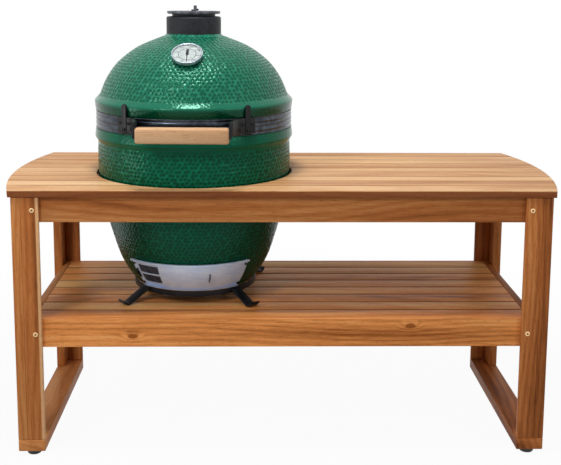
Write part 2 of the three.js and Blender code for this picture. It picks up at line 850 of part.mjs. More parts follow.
// Thermometer: its axis stands square to the lid where it is screwed in
const domeFoot = (() => {
  const rising = domeCurve.findIndex(([radius]) => radius < thermometerRadius);
  const [r0, z0] = domeCurve[rising - 1];
  const [r1, z1] = domeCurve[rising];
  const share = (r0 - thermometerRadius) / (r0 - r1);
  return { height: z0 + (z1 - z0) * share, tilt: Math.atan2(r0 - r1, z1 - z0) };
})();

// Moves a piece drawn about +Z, from its foot at the origin, on to the lid
function placeOnDome(object) {
  object.rotateX(Math.PI / 2 - domeFoot.tilt);
  const place = [0, -thermometerRadius, domeFoot.height];
  return object.isObject3D ? object.position.set(...place) : object.translate(...place);
}

function thermometer(lid) {
  const gauge = new THREE.Group();
  placeOnDome(gauge);
  lid.add(gauge);
  const back = 2 * seat;
  const face = back + caseDepth;
  const dialTop = face - dialRecess;
  const inner = caseRadius - caseRim;
  const casing = turned(
    [
      [0, -stemLength],
      [stemRadius, -stemLength],
      [stemRadius, back],
      [caseRadius - caseRim, back],
      [caseRadius, back + caseRim],
      [caseRadius, face - caseRim / 2],
      [caseRadius - caseRim / 2, face],
      [inner, face],
      [inner, dialTop - dialThickness],
      [0, dialTop - dialThickness],
    ],
    dialSteps,
  );
  add(gauge, "thermometer_case", casing, "brightSteel");
  const disc = (radius, low, high) => prism(circle(radius, dialSteps), low, high);
  const dial = disc(inner - seat, dialTop - dialThickness + seat, dialTop);
  const post = disc(needleHub / 2, dialTop - seat, dialTop + seat + needleThickness + seat);
  add(gauge, "thermometer_dial", join(dial, post), "dialWhite");
  const glassLow = face - glassThickness - seat;
  add(gauge, "thermometer_glass", disc(inner - seat, glassLow, glassLow + glassThickness), "glass");

  const half = needleWidth / 2;
  const tailHalf = needleTailWidth / 2;
  const blade = [
    [-half / 2, -needleLength],
    [half / 2, -needleLength],
    [half, 0],
    [tailHalf, needleHub],
    [tailHalf, needleTail],
    [-tailHalf, needleTail],
    [-tailHalf, needleHub],
    [-half, 0],
  ];
  const low = dialTop + seat;
  const high = low + needleThickness;
  const hub = prism(circle(needleHub, boltSteps), low, high);
  const bore = prism(circle(needleHub / 2 + seat, boltSteps), low - overrun, high + overrun);
  add(gauge, "thermometer_needle", cut(join(prism(blade, low, high), hub), bore), "needleBlack");
}

// Cast cap with a slide disc that swings on a rear pivot and a daisy wheel that turns on the disc
function chimney(lid) {
  const cap = new THREE.Group();
  cap.position.z = domeHeight + seat;
  lid.add(cap);
  const shoulder = neckHeight + 2 * seat;
  const top = capHeight;
  const collarTop = top + collarHeight;
  const body = turned(
    [
      [neckRadius + 2 * seat, 0],
      [capRadius, 0],
      [capRadius, top - capEdge],
      [capRadius - capEdge / 3, top - capEdge / 3],
      [capRadius - capEdge, top],
      [collarRadius, top],
      [collarRadius, collarTop],
      [capMouthRadius, collarTop],
      [capMouthRadius, shoulder + capWall],
      [throatRadius, shoulder],
      [neckRadius + 2 * seat, shoulder],
      [neckRadius + 2 * seat, 0],
    ],
    capSteps,
  );
  // A boss behind the collar carries the pivot
  const bossTop = collarTop;
  const boss = prism(circle(lugRadius, boltSteps, 0, lugReach), top - capEdge - lugRadius, bossTop);
  const bossWeb = prism(
    [
      [-lugRadius, collarRadius - lugRadius / 2],
      [lugRadius, collarRadius - lugRadius / 2],
      [lugRadius, lugReach],
      [-lugRadius, lugReach],
    ],
    top - capEdge - lugRadius,
    bossTop,
  );
  const pivotBore = (radius, low, high) => prism(circle(radius, boltSteps, 0, lugReach), low, high);
  const socket = pivotBore(pivotRadius + seat, top - seat, bossTop + overrun);
  const crown = cut(join(body, boss, bossWeb), socket);
  add(cap, "chimney_cap", crown, "castIron");

  const vents = (turn, low, high) =>
    Array.from({ length: ventCount }, (_, i) => {
      const angle = turn + (i / ventCount) * 2 * Math.PI;
      const [x, y] = [ventPitchRadius * Math.cos(angle), ventPitchRadius * Math.sin(angle)];
      return prism(circle(ventRadius, ventSteps, x, y), low, high);
    });
  const discLow = collarTop + seat;
  const discTop = discLow + discThickness;
  const dish = turned(
    [
      [0, discLow],
      [discRadius - discRim, discLow],
      [discRadius, discLow + discRim],
      [discRadius, discTop + discRim],
      [discRadius - discRim, discTop],
      [0, discTop],
    ],
    capSteps,
  );
  const lug = prism(circle(lugRadius, boltSteps, 0, lugReach), discLow, discTop);
  const wheelLow = discTop + seat;
  const wheelTop = wheelLow + wheelThickness;
  const screw = prism(circle(wheelScrewRadius, boltSteps), discTop - seat, wheelTop + seat);
  const screwTop = wheelTop + wheelScrewHeadHeight;
  const screwHead = prism(circle(wheelScrewHead, boltSteps), wheelTop + seat, screwTop);
  const lugBore = pivotBore(pivotRadius + seat, discLow - overrun, discTop + discRim + overrun);
  const disc = cut(join(dish, lug), ...vents(0, discLow - overrun, discTop + overrun), lugBore);
  add(cap, "damper_disc", join(disc, screw, screwHead), "castIron");

  const pivotTop = discTop + discRim + seat;
  const shank = pivotBore(pivotRadius, top, pivotTop + seat);
  const head = pivotBore(pivotHeadRadius, pivotTop, pivotTop + pivotHeadHeight);
  add(cap, "damper_pivot_bolt", join(shank, head), "blackSteel");

  const halfPitch = Math.PI / ventCount;
  const wheel = prism(circle(wheelRadius, capSteps), wheelLow, wheelTop);
  const tabBack = wheelRadius - 2 * wheelThickness;
  const tab = sidePrism(
    [
      [tabBack, wheelLow],
      [tabBack + wheelThickness, wheelLow],
      [tabBack + wheelThickness, wheelTop + wheelTabHeight],
      [tabBack, wheelTop + wheelTabHeight],
    ],
    -wheelTabWidth / 2,
    wheelTabWidth / 2,
  );
  const wheelBore = prism(circle(wheelScrewRadius + seat, boltSteps), wheelLow - seat, wheelTop + overrun);
  const wheelVents = vents(halfPitch, wheelLow - seat, wheelTop + overrun / 2);
  add(cap, "daisy_wheel", cut(join(wheel, tab), wheelBore, ...wheelVents), "castIron");
}

// Draft door: a C-shaped track on the ceramic, with two rows of windows and a sliding panel
function draftDoor(grill) {
  const [low, high] = [-housingBottom, -housingTop];
  const backAt = (z) => radiusAt(baseCurve, z) + housingStand;
  // The sheet bends at the same heights as the ceramic behind it
  const edge = housingSheet + 2 * seat;
  const heights = baseCurve.map(([, z]) => z).toReversed();
  const levels = heights.filter((z) => z > low + edge && z < high - edge);
  const off = (z, out) => [backAt(z) + out, z];
  const lipOut = channelDepth + housingSheet;
  const track = [
    off(low, 0),
    off(low, lipOut),
    off(low + channelLip, lipOut),
    off(low + channelLip, channelDepth),
    off(low + housingSheet, channelDepth),
    off(low + housingSheet, housingSheet),
    ...levels.map((z) => off(z, housingSheet)),
    off(high - housingSheet, housingSheet),
    off(high - housingSheet, channelDepth),
    off(high - channelLip, channelDepth),
    off(high - channelLip, lipOut),
    off(high, lipOut),
    off(high, 0),
    ...levels.toReversed().map((z) => off(z, 0)),
  ];
  const housing = turnedPart(track, -housingHalfAngle, housingHalfAngle);
  const upper = windowMiddle + windowBar / 2;
  const lower = windowMiddle - windowBar / 2;
  const windows = [
    windowCutter(upper, upper + windowHeight, windowFrom, windowTo),
    windowCutter(lower - windowHeight, lower, windowFrom, windowTo),
  ];
  add(grill, "draft_housing", cut(housing, ...windows), "brightSteel");

  const slack = (channelDepth - housingSheet - panelSheet) / 2;
  const inner = housingSheet + slack;
  const [panelLow, panelHigh] = [low + housingSheet + seat, high - housingSheet - seat];
  const sheet = [
    off(panelLow, inner),
    off(panelLow, inner + panelSheet),
    ...levels.map((z) => off(z, inner + panelSheet)),
    off(panelHigh, inner + panelSheet),
    off(panelHigh, inner),
    ...levels.toReversed().map((z) => off(z, inner)),
  ];
  const middle = (low + high) / 2;
  const [tabLow, tabHigh] = [middle - tabHeight / 2, middle + tabHeight / 2];
  const tab = turnedPart(
    [
      off(tabLow, inner + panelSheet / 2),
      off(tabLow, lipOut + tabStand / 2),
      off(middle, lipOut + tabStand),
      off(tabHigh, lipOut + tabStand / 2),
      off(tabHigh, inner + panelSheet / 2),
      off(middle, inner + panelSheet / 2),
    ],
    tabAngle - tabWidth,
    tabAngle + tabWidth,
  );
  add(grill, "draft_panel", join(turnedPart(sheet, panelFrom, panelTo), tab), "brightSteel");
}

// Fire box, fire ring, grate and cooking grid
function fireParts(grill) {
  const floor = floorThickness - baseDepth + seat;
  const ledge = floor + ledgeHeight;
  const boxTop = floor + boxHeight;
  const grateRadius = boxFootRadius - boxWall - grateClearance;
  const slope = (boxTopRadius - boxFootRadius) / boxHeight;
  const outerAt = (z) => boxFootRadius + slope * (z - floor);
  const inside = (z) => outerAt(z) - boxWall;
  const bowl = turned(
    [
      [outerAt(floor), floor],
      [outerAt(boxTop), boxTop],
      [inside(boxTop), boxTop],
      [inside(ledge), ledge],
      [grateRadius - ledgeWidth, ledge],
      [grateRadius - ledgeWidth, ledge - ledgeThickness],
      [inside(floor), ledge - ledgeThickness],
      [inside(floor), floor],
      [outerAt(floor), floor],
    ],
    innerSteps,
  );
  const notch = windowCutter(floor - overrun, ledge - ledgeThickness, windowFrom, windowTo);
  const holes = Array.from({ length: boxHoles }, (_, i) => {
    const angle = ((i + 1 / 2) / boxHoles) * 2 * Math.PI;
    const drill = prism(circle(boxHoleRadius, boxHoleSteps), boxFootRadius / 2, bodyRadius);
    return drill.rotateY(Math.PI / 2).rotateZ(angle).translate(0, 0, ledge + ledgeHeight / 2);
  });
  add(grill, "fire_box", cut(bowl, notch, ...holes), "fireclay");

  const grateLow = ledge + seat;
  const disc = prism(circle(grateRadius, innerSteps), grateLow, grateLow + grateThickness);
  const slots = Array.from({ length: grateSlots }, (_, i) => {
    const x = (i - (grateSlots - 1) / 2) * gratePitch;
    const reach = Math.sqrt((grateRadius - grateBorder) ** 2 - x ** 2);
    return block(
      [x - grateSlotWidth / 2, -reach, grateLow - seat / 2],
      [x + grateSlotWidth / 2, reach, grateLow + grateThickness + seat],
    );
  });
  add(grill, "fire_grate", cut(disc, ...slots), "castIron");

  const ringLow = boxTop + seat;
  const ringTop = ringLow + ringHeight;
  const ringInner = ringRadius - ringWall;
  add(grill, "fire_ring", ring(ringInner, ringRadius, ringLow, ringTop, innerSteps), "fireclay");

  const gridLevel = ringTop + seat + gridRod;
  const rim = new THREE.TorusGeometry(gridRadius, gridRod, gridRimSides, innerSteps);
  const bars = Array.from({ length: gridBars }, (_, i) => {
    const y = (i - (gridBars - 1) / 2) * gridPitch;
    const reach = Math.sqrt(gridRadius ** 2 - y ** 2);
    const half = gridBar / 2;
    return block([-reach, y - half, -half], [reach, y + half, half]);
  });
  const grid = join(rim, ...bars).translate(0, 0, gridLevel);
  add(grill, "cooking_grid", grid, "brightSteel");
}

// Four-legged steel stand: a ring under the base's shoulder with bent strap legs
function nest(table) {
  const stand = new THREE.Group();
  stand.position.set(grillOffset, 0, shelfHeight + seat);
  stand.rotation.z = nestTurn;
  table.add(stand);
  const ringLow = nestLift - nestSheet;
  const ringHigh = ringLow + nestRingHeight;
  const bearing = radiusAt(baseCurve, ringHigh + 2 * seat - nestLift - baseDepth);
  const inner = (bearing + seat) / Math.cos(Math.PI / shellSteps);
  const outer = inner + nestSheet;
  const band = ring(inner, outer, ringLow, ringHigh, shellSteps);
  const half = nestSheet / 2;
  const line = [
    [outer, ringHigh - half],
    [outer, ringHigh - nestSheet],
    [nestFootReach - nestSheet, half + nestSheet / 2],
    [nestFootReach, half],
    [nestFootReach + nestToeLength / 2, half + nestSheet / 2],
    [nestFootReach + nestToeLength, half + nestToeRise],
  ];
  const leg = sidePrism(strapOutline(line, nestSheet), -nestStrapWidth / 2, nestStrapWidth / 2);
  const footLow = Math.min(...strapOutline(line, nestSheet).map(([, z]) => z));
  const legs = Array.from({ length: nestLegs }, (_, i) => {
    const angle = ((i + 1 / 2) / nestLegs) * 2 * Math.PI;
    return leg.clone().rotateZ(angle);
  });
  const all = join(band, ...legs).translate(0, 0, -footLow);
  add(stand, "nest_stand", all, "blackSteel");
}

// Assembly
const kamadoTable = new THREE.Group();
tableTop(kamadoTable);
tableFrame(kamadoTable);
shelf(kamadoTable);
nest(kamadoTable);

const grill = new THREE.Group();
grill.position.set(grillOffset, 0, jointHeight);
grill.rotation.z = grillTurn;
kamadoTable.add(grill);
const lid = new THREE.Group();
grill.add(lid);

baseShell(grill);
const stemHole = prism(circle(stemRadius + 2 * seat, boltSteps), -2 * ceramicWall, ceramicWall);
domeShell(lid, placeOnDome(stemHole));
bandsAndGasket(grill, lid);
handle(lid);
hinge(grill, lid);
thermometer(lid);
chimney(lid);
draftDoor(grill);
fireParts(grill);

export default kamadoTable;
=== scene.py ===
import json
import math

import bpy
import numpy as np
from mathutils import Matrix, Vector
from mathutils.geometry import tessellate_polygon


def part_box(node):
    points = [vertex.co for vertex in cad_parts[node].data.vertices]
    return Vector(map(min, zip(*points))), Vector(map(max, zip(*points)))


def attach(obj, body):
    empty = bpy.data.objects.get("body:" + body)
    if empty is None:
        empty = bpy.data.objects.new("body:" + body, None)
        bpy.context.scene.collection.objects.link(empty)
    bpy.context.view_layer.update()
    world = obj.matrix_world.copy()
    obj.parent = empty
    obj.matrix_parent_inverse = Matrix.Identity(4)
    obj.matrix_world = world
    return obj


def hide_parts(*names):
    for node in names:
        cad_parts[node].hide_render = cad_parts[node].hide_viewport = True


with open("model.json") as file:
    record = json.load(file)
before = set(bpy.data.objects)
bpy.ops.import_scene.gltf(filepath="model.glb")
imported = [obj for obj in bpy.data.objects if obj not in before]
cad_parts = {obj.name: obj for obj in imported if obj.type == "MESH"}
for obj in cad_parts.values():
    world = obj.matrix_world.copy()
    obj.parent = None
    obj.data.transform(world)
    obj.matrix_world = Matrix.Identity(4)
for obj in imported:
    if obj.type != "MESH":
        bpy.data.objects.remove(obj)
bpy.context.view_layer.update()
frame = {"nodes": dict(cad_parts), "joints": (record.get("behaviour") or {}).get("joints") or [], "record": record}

scene = bpy.context.scene
scene.view_settings.view_transform = "Standard"

# Camera. It stands in front of the table, a little left of its middle, at the height and with the
# lens worked out from the corners of the table in the picture.
CAMERA_PLACE = (-0.0723, -2.8438, 1.2380)
CAMERA_YAW, CAMERA_TILT, CAMERA_ROLL = (math.radians(angle) for angle in (-1.176, 8.71, 0.3))
CAMERA_LENS = 64.84
CAMERA_SHIFT = (0.0079, -0.16)

camera = bpy.data.objects.new("camera", bpy.data.cameras.new("camera"))
scene.collection.objects.link(camera)
scene.camera = camera
camera.matrix_world = (
    Matrix.Translation(CAMERA_PLACE)
    @ Matrix.Rotation(CAMERA_YAW, 4, "Z")
    @ Matrix.Rotation(math.pi / 2 - CAMERA_TILT, 4, "X")
    @ Matrix.Rotation(CAMERA_ROLL, 4, "Z")
)
camera.data.lens = CAMERA_LENS
camera.data.shift_x, camera.data.shift_y = CAMERA_SHIFT


# Floor and light. A white studio floor that keeps the table's shadow, a white room, and four soft
# lamps: one above the front left, a weak one at the right, a low one at the left, one over the grill.
FLOOR_HALF = 30.0
FLOOR_TONE = 0.45
FLOOR_GLOW = 0.955
FLOOR_NEAR, FLOOR_FAR = 0.9, 2.2
ROOM_LIGHT = 0.32
LAMPS = {
    "key": ((-1.9, -2.7, 2.6), 34, 0.8),
    "fill": ((2.5, -2.5, 1.8), 12, 1.0),
    "low": ((-3.0, -1.0, 0.6), 11, 0.8),
    "top": ((-0.3, -0.7, 3.3), 50, 0.6),
}
LAMP_AIM = (0.0, 0.0, 0.6)


class Socket:
    """A node's output. Arithmetic on it adds Math nodes to the same node tree."""

    def __init__(self, nodes, output):
        self.nodes, self.output = nodes, output

    def math(self, operation, *values):
        return self.nodes.node("Math", (self, *values), operation=operation)

    def __add__(self, other):
        return self.math("ADD", other)

    def __sub__(self, other):
        return self.math("SUBTRACT", other)

    def __rsub__(self, other):
        return self.nodes.node("Math", (other, self), operation="SUBTRACT")

    def __mul__(self, other):
        return self.math("MULTIPLY", other)

    def __truediv__(self, other):
        return self.math("DIVIDE", other)

    def __pow__(self, other):
        return self.math("POWER", other)

    __radd__ = __add__


class Nodes:
    """The node tree of a material or of the world."""

    def __init__(self, owner):
        owner.use_nodes = True
        self.tree = owner.node_tree
        self.tree.nodes.clear()

    def node(self, kind, inputs=(), out=0, stops=None, **settings):
        """Adds a node: first its settings and a ramp's stops, then the values or links of its sockets."""
        made = self.tree.nodes.new("ShaderNode" + kind)
        for key, value in settings.items():
            setattr(made, key, value)
        for i, (place, tone) in enumerate(stops or ()):
            element = made.color_ramp.elements[i] if i < 2 else made.color_ramp.elements.new(place)
            element.position, element.color = place, tone
        for key, value in inputs.items() if isinstance(inputs, dict) else enumerate(inputs):
            if isinstance(value, Socket):
                self.tree.links.new(value.output, made.inputs[key])
            else:
                made.inputs[key].default_value = value
        return Socket(self, made.outputs[out] if made.outputs else None)

    def either(self, first, second, share, blend_type="MIX"):
        """A colour that goes from first to second as share goes from 0 to 1."""
        inputs = {0: share, 6: first, 7: second}
        return self.node("Mix", inputs, out=2, data_type="RGBA", blend_type=blend_type)

    def band(self, value, low, high):
        """0 below low, 1 above high, and smooth between them."""
        inputs = {"Value": value, "From Min": low, "From Max": high}
        return self.node("MapRange", inputs, interpolation_type="SMOOTHSTEP")

    def length(self, vector):
        return self.node("VectorMath", {0: vector}, out="Value", operation="LENGTH")


def colour(red, green, blue):
    """A screen colour of 0 to 255 as the linear colour that a socket takes."""
    screen = np.array([red, green, blue]) / 255
    linear = np.where(screen <= 0.04045, screen / 12.92, ((screen + 0.055) / 1.055) ** 2.4)
    return (*map(float, linear), 1.0)


WHITE = colour(255, 255, 255)


def seen_directly(nodes):
    """1 for rays from the camera, in reflections and through glass."""
    kinds = ("Camera", "Glossy", "Transmission")
    seen, glossy, through = (nodes.node("LightPath", out=f"Is {kind} Ray") for kind in kinds)
    return seen.math("MAXIMUM", glossy).math("MAXIMUM", through)


floor_finish = bpy.data.materials.new("white_floor")
floor_nodes = Nodes(floor_finish)
distance = floor_nodes.length(floor_nodes.node("TexCoord", out="Object"))
share = floor_nodes.band(distance, FLOOR_NEAR, FLOOR_FAR) * (1 - FLOOR_GLOW) + FLOOR_GLOW
matt = floor_nodes.node("BsdfDiffuse", {"Color": (FLOOR_TONE, FLOOR_TONE, FLOOR_TONE, 1)})
glow = floor_nodes.node("Emission", {"Color": WHITE, "Strength": 1.0})
lit = floor_nodes.node("MixShader", (seen_directly(floor_nodes) * share, matt, glow))
floor_nodes.node("OutputMaterial", {"Surface": lit})

floor_corners = [(x * FLOOR_HALF, y * FLOOR_HALF, 0) for x, y in ((-1, -1), (1, -1), (1, 1), (-1, 1))]
floor_mesh = bpy.data.meshes.new("studio_floor")
floor_mesh.from_pydata(floor_corners, [], [(0, 1, 2, 3)])
floor_mesh.materials.append(floor_finish)
floor = bpy.data.objects.new("studio_floor", floor_mesh)
scene.collection.objects.link(floor)

scene.world = bpy.data.worlds.new("white_room")
room = Nodes(scene.world)
strength = seen_directly(room) * (1 - ROOM_LIGHT) + ROOM_LIGHT
room.node("OutputWorld", {"Surface": room.node("Background", {"Color": WHITE, "Strength": strength})})

for name, (place, power, size) in LAMPS.items():
    lamp = bpy.data.lights.new(name, "AREA")
    lamp.energy, lamp.size = power, size
    lamp_object = bpy.data.objects.new(name, lamp)
    scene.collection.objects.link(lamp_object)
    aim = (Vector(LAMP_AIM) - Vector(place)).to_track_quat("-Z", "Y")
    lamp_object.matrix_world = Matrix.LocRotScale(Vector(place), aim, None)


# Table top. Nine hardwood boards, 66 mm wide and 19 mm thick, with bowed ends and a round hole for
# the grill. Three battens under them hold the cut boards together.
BOARDS = 9
BOARD_GAP = 0.0015
ARRIS = 0.0018
HALF_LENGTH = 0.7499
END_BOW = 0.0435
HOLE_RADIUS = 0.2755
HOLE_POINTS = 90
END_POINTS = 7
BATTEN_WIDTH = 0.045
BATTEN_MARGIN = 0.02
BATTEN_SEAT = 0.0001
POST_SIDE = 0.025
ROUND_STEPS = 4
AXES = {"x": [2, 0, 1], "y": [1, 2, 0], "z": [0, 1, 2]}

# The top boards' pale tones are painted sheen and light of their lit top face.
TOP_WOOD_PAINTED_SHEEN = [colour(174, 118, 70), colour(212, 160, 110), colour(238, 198, 148)]
FRAME_WOOD = [colour(106, 54, 20), colour(180, 106, 52), colour(220, 154, 92)]
PORE = colour(70, 38, 20)
SAPWOOD = colour(238, 190, 138)
# Multiplied into the top boards beside their gaps: dirt, and painted shade of the gaps.
TOP_SEAM_DIRT_AND_SHADE = colour(176, 150, 126)
TOP_SEAM_REACH = 0.005
SAP_BLEND, SAP_SHARE = 0.003, 0.75
# Multiplied into the top boards below their top face: painted shade on their sides.
SIDE_PAINTED_SHADE = colour(162, 122, 100)

chance = np.random.default_rng(7)


class Finish(Nodes):
    """A material with one Principled shader. Its constants stand on the shader's own sockets."""

    def __init__(self, name, **constants):
        self.material = bpy.data.materials.new(name)
        super().__init__(self.material)
        inputs = {key.replace("_", " "): value for key, value in constants.items()}
        self.shader = self.node("BsdfPrincipled", inputs)
        self.node("OutputMaterial", {"Surface": self.shader})
        self.place = self.node("TexCoord", out="Object")

    def set(self, **values):
        """Links worked-out values to the shader."""
        for key, value in values.items():
            socket = self.shader.output.node.inputs[key.replace("_", " ")]
            self.tree.links.new(value.output, socket)

    def mark(self):
        """The piece's own number at each point."""
        return self.node("Attribute", out="Fac", attribute_name="mark")

    def along(self, axis):
        """The place along one axis: 0 is x, 1 is y and 2 is z."""
        return self.node("SeparateXYZ", {0: self.place}, out=axis)

    def moved(self, by):
        return self.node("VectorMath", (self.place, by), operation="ADD")

    def noise(self, place, scale, detail=2.0, roughness=0.5):
        inputs = {"Vector": place, "Scale": scale, "Detail": detail, "Roughness": roughness}
        return self.node("TexNoise", inputs)

    def stretched(self, place, scale):
        return self.node("VectorMath", (place, scale), operation="MULTIPLY")

    def bump(self, height, distance, strength=1.0):
        inputs = {"Height": height, "Distance": distance, "Strength": strength}
        self.set(Normal=self.node("Bump", inputs))


def between(index):
    """Four-sided faces between each ring of point numbers and the next."""
    here, there = index[:-1], index[1:]
    return np.stack([here, np.roll(here, -1, 1), np.roll(there, -1, 1), there], -1).reshape(-1, 4)


class Piece:
    """One object: closed skins, each made of rings of points that are joined by four-sided faces."""

    def __init__(self):
        self.points, self.corners, self.sizes, self.marks = [], [], [], []
        self.count = 0

    def faces(self, faces):
        self.corners.append(faces.ravel() + self.count)
        self.sizes.append(np.full(len(faces), faces.shape[1]))

    def skin(self, points, mark):
        self.points.append(points)
        self.marks.append(np.broadcast_to(mark, len(points)))
        self.count += len(points)

    def tube(self, rings, mark=0.0, closed=False, keep=slice(None), walls=()):
        """Rings run anticlockwise about their direction of travel. The ends are flat caps, or meet."""
        rows, around = rings.shape[:2]
        index = np.arange(rows * around).reshape(rows, around)
        self.faces(between(np.vstack([index, index[:1]]) if closed else index)[keep])
        for faces in (*walls, *(() if closed else (index[:1, ::-1], index[-1:]))):
            self.faces(faces)
        self.skin(rings.reshape(-1, 3), mark)
        return self

    def sheet(self, front, back, keep, mark=0.0):
        """A plate between two grids of points. Cells that are not kept are holes with walls round them."""
        rows, columns = front.shape[:2]
        index = np.arange(rows * columns).reshape(rows, columns)
        cell = [index[:-1, :-1], index[:-1, 1:], index[1:, 1:], index[1:, :-1]]
        self.faces(np.stack(cell, -1)[keep])
        self.faces(np.stack(cell[::-1], -1)[keep] + index.size)
        padded = np.pad(keep, 1)
        beside = [padded[:-2, 1:-1], padded[1:-1, 2:], padded[2:, 1:-1], padded[1:-1, :-2]]
        for a, b, joined in zip(cell, cell[1:] + cell[:1], beside):
            wall = np.stack([b, a, a + index.size, b + index.size], -1)
            self.faces(wall[keep & ~joined])
        self.skin(np.concatenate([front.reshape(-1, 3), back.reshape(-1, 3)]), mark)
        return self

    def plate(self, outlines, low, high, ease, place, along="z", mark=0.0):
        """A flat plate: its outline, then its holes, which run clockwise."""
        ends = [inset(loop, ease) for loop in outlines]
        triangles = np.array(tessellate_polygon([[Vector((*point, 0)) for point in loop] for loop in ends]))
        (ax, ay), (bx, by), (cx, cy) = (np.concatenate(ends)[triangles[:, k]].T for k in range(3))
        over = (bx - ax) * (cy - ay) < (by - ay) * (cx - ax)
        triangles[over] = triangles[over, ::-1]
        bottom, top = [], []
        for loop in outlines:
            rings = slab(loop, low, high, ease, along)
            index = np.arange(rings.size // 3).reshape(rings.shape[:2])
            self.faces(between(index))
            bottom.append(index[0] + self.count)
            top.append(index[-1] + self.count)
            self.skin(place(rings.reshape(-1, 3)), mark)
        self.faces(np.concatenate(top)[triangles] - self.count)
        self.faces(np.concatenate(bottom)[triangles[:, ::-1]] - self.count)
        return self

    def add(self, points, corners, sizes, mark=0.0):
        """A skin of ready faces, given by their corner numbers and sizes."""
        self.corners.append(corners + self.count)
        self.sizes.append(sizes)
        self.skin(points, mark)

    def make(self, name, body, slot, finish, *nodes, sharp=40):
        """The object at the origin, riding on its body and standing for the named CAD nodes."""
        mesh = bpy.data.meshes.new(name)
        corners, sizes = np.concatenate(self.corners), np.concatenate(self.sizes)
        used, corners = np.unique(corners, return_inverse=True)
        points, marks = np.concatenate(self.points)[used], np.concatenate(self.marks)[used]
        mesh.vertices.add(len(points))
        mesh.vertices.foreach_set("co", points.ravel())
        mesh.loops.add(len(corners))
        mesh.polygons.add(len(sizes))
        mesh.polygons.foreach_set("loop_start", np.cumsum(sizes) - sizes)
        mesh.polygons.foreach_set("vertices", corners)
        mesh.polygons.foreach_set("use_smooth", np.ones(len(sizes), bool))
        mesh.update(calc_edges=True)
        mesh.attributes.new("mark", "FLOAT", "POINT").data.foreach_set("value", marks)
        mesh.set_sharp_from_angle(angle=math.radians(sharp))
        mesh.materials.append(finish.material)
        made = bpy.data.objects.new(name, mesh)
        scene.collection.objects.link(made)
        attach(made, body)
        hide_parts(*nodes)
        return made


def inset(loop, by):
    """A closed outline moved inwards: each corner goes along the bisector of its two edges."""
    edge = np.roll(loop, -1, 0) - loop
    normal = np.stack([-edge[:, 1], edge[:, 0]], 1) / np.hypot(*edge.T)[:, None]
    before = np.roll(normal, 1, 0)
    middle = normal + before
    return loop + by * middle / np.maximum((middle * normal).sum(1), 0.4)[:, None]


def slab(loop, low, high, ease=ARRIS, along="z"):
    """An outline carried along an axis, with its end edges rounded over by a quarter circle."""
    turn = np.linspace(0, np.pi / 2, ROUND_STEPS)
    rise = ease * (1 - np.cos(turn))
    draw = ease * (1 - np.sin(turn))
    levels = np.concatenate([low + rise, (high - rise)[::-1]])
    draws = np.concatenate([draw, draw[::-1]])
    outlines = np.stack([inset(loop, by) for by in draws])
    height = np.broadcast_to(levels[:, None, None], (*outlines.shape[:2], 1))
    return np.concatenate([outlines, height], -1)[..., AXES[along]]


def rounded(low, high, ease=ARRIS):
    """A rectangle whose corners are quarter circles."""
    turn = np.linspace(0, np.pi / 2, ROUND_STEPS)[None] + np.arange(4)[:, None] * np.pi / 2
    middle = np.array([[1, 1], [0, 1], [0, 0], [1, 0]])[:, None]
    low, high = np.asarray(low) + ease, np.asarray(high) - ease
    return (low + middle * (high - low) + ease * np.stack([np.cos(turn), np.sin(turn)], -1)).reshape(-1, 2)


def bar(low, high, along, ease=ARRIS):
    """A board with eased edges between two corners."""
    across = [AXES[along].index(k) for k in range(3)]
    low, high = (np.array(corner)[across] for corner in (low, high))
    return slab(rounded(low[:2], high[:2], ease), low[2], high[2], ease, along)


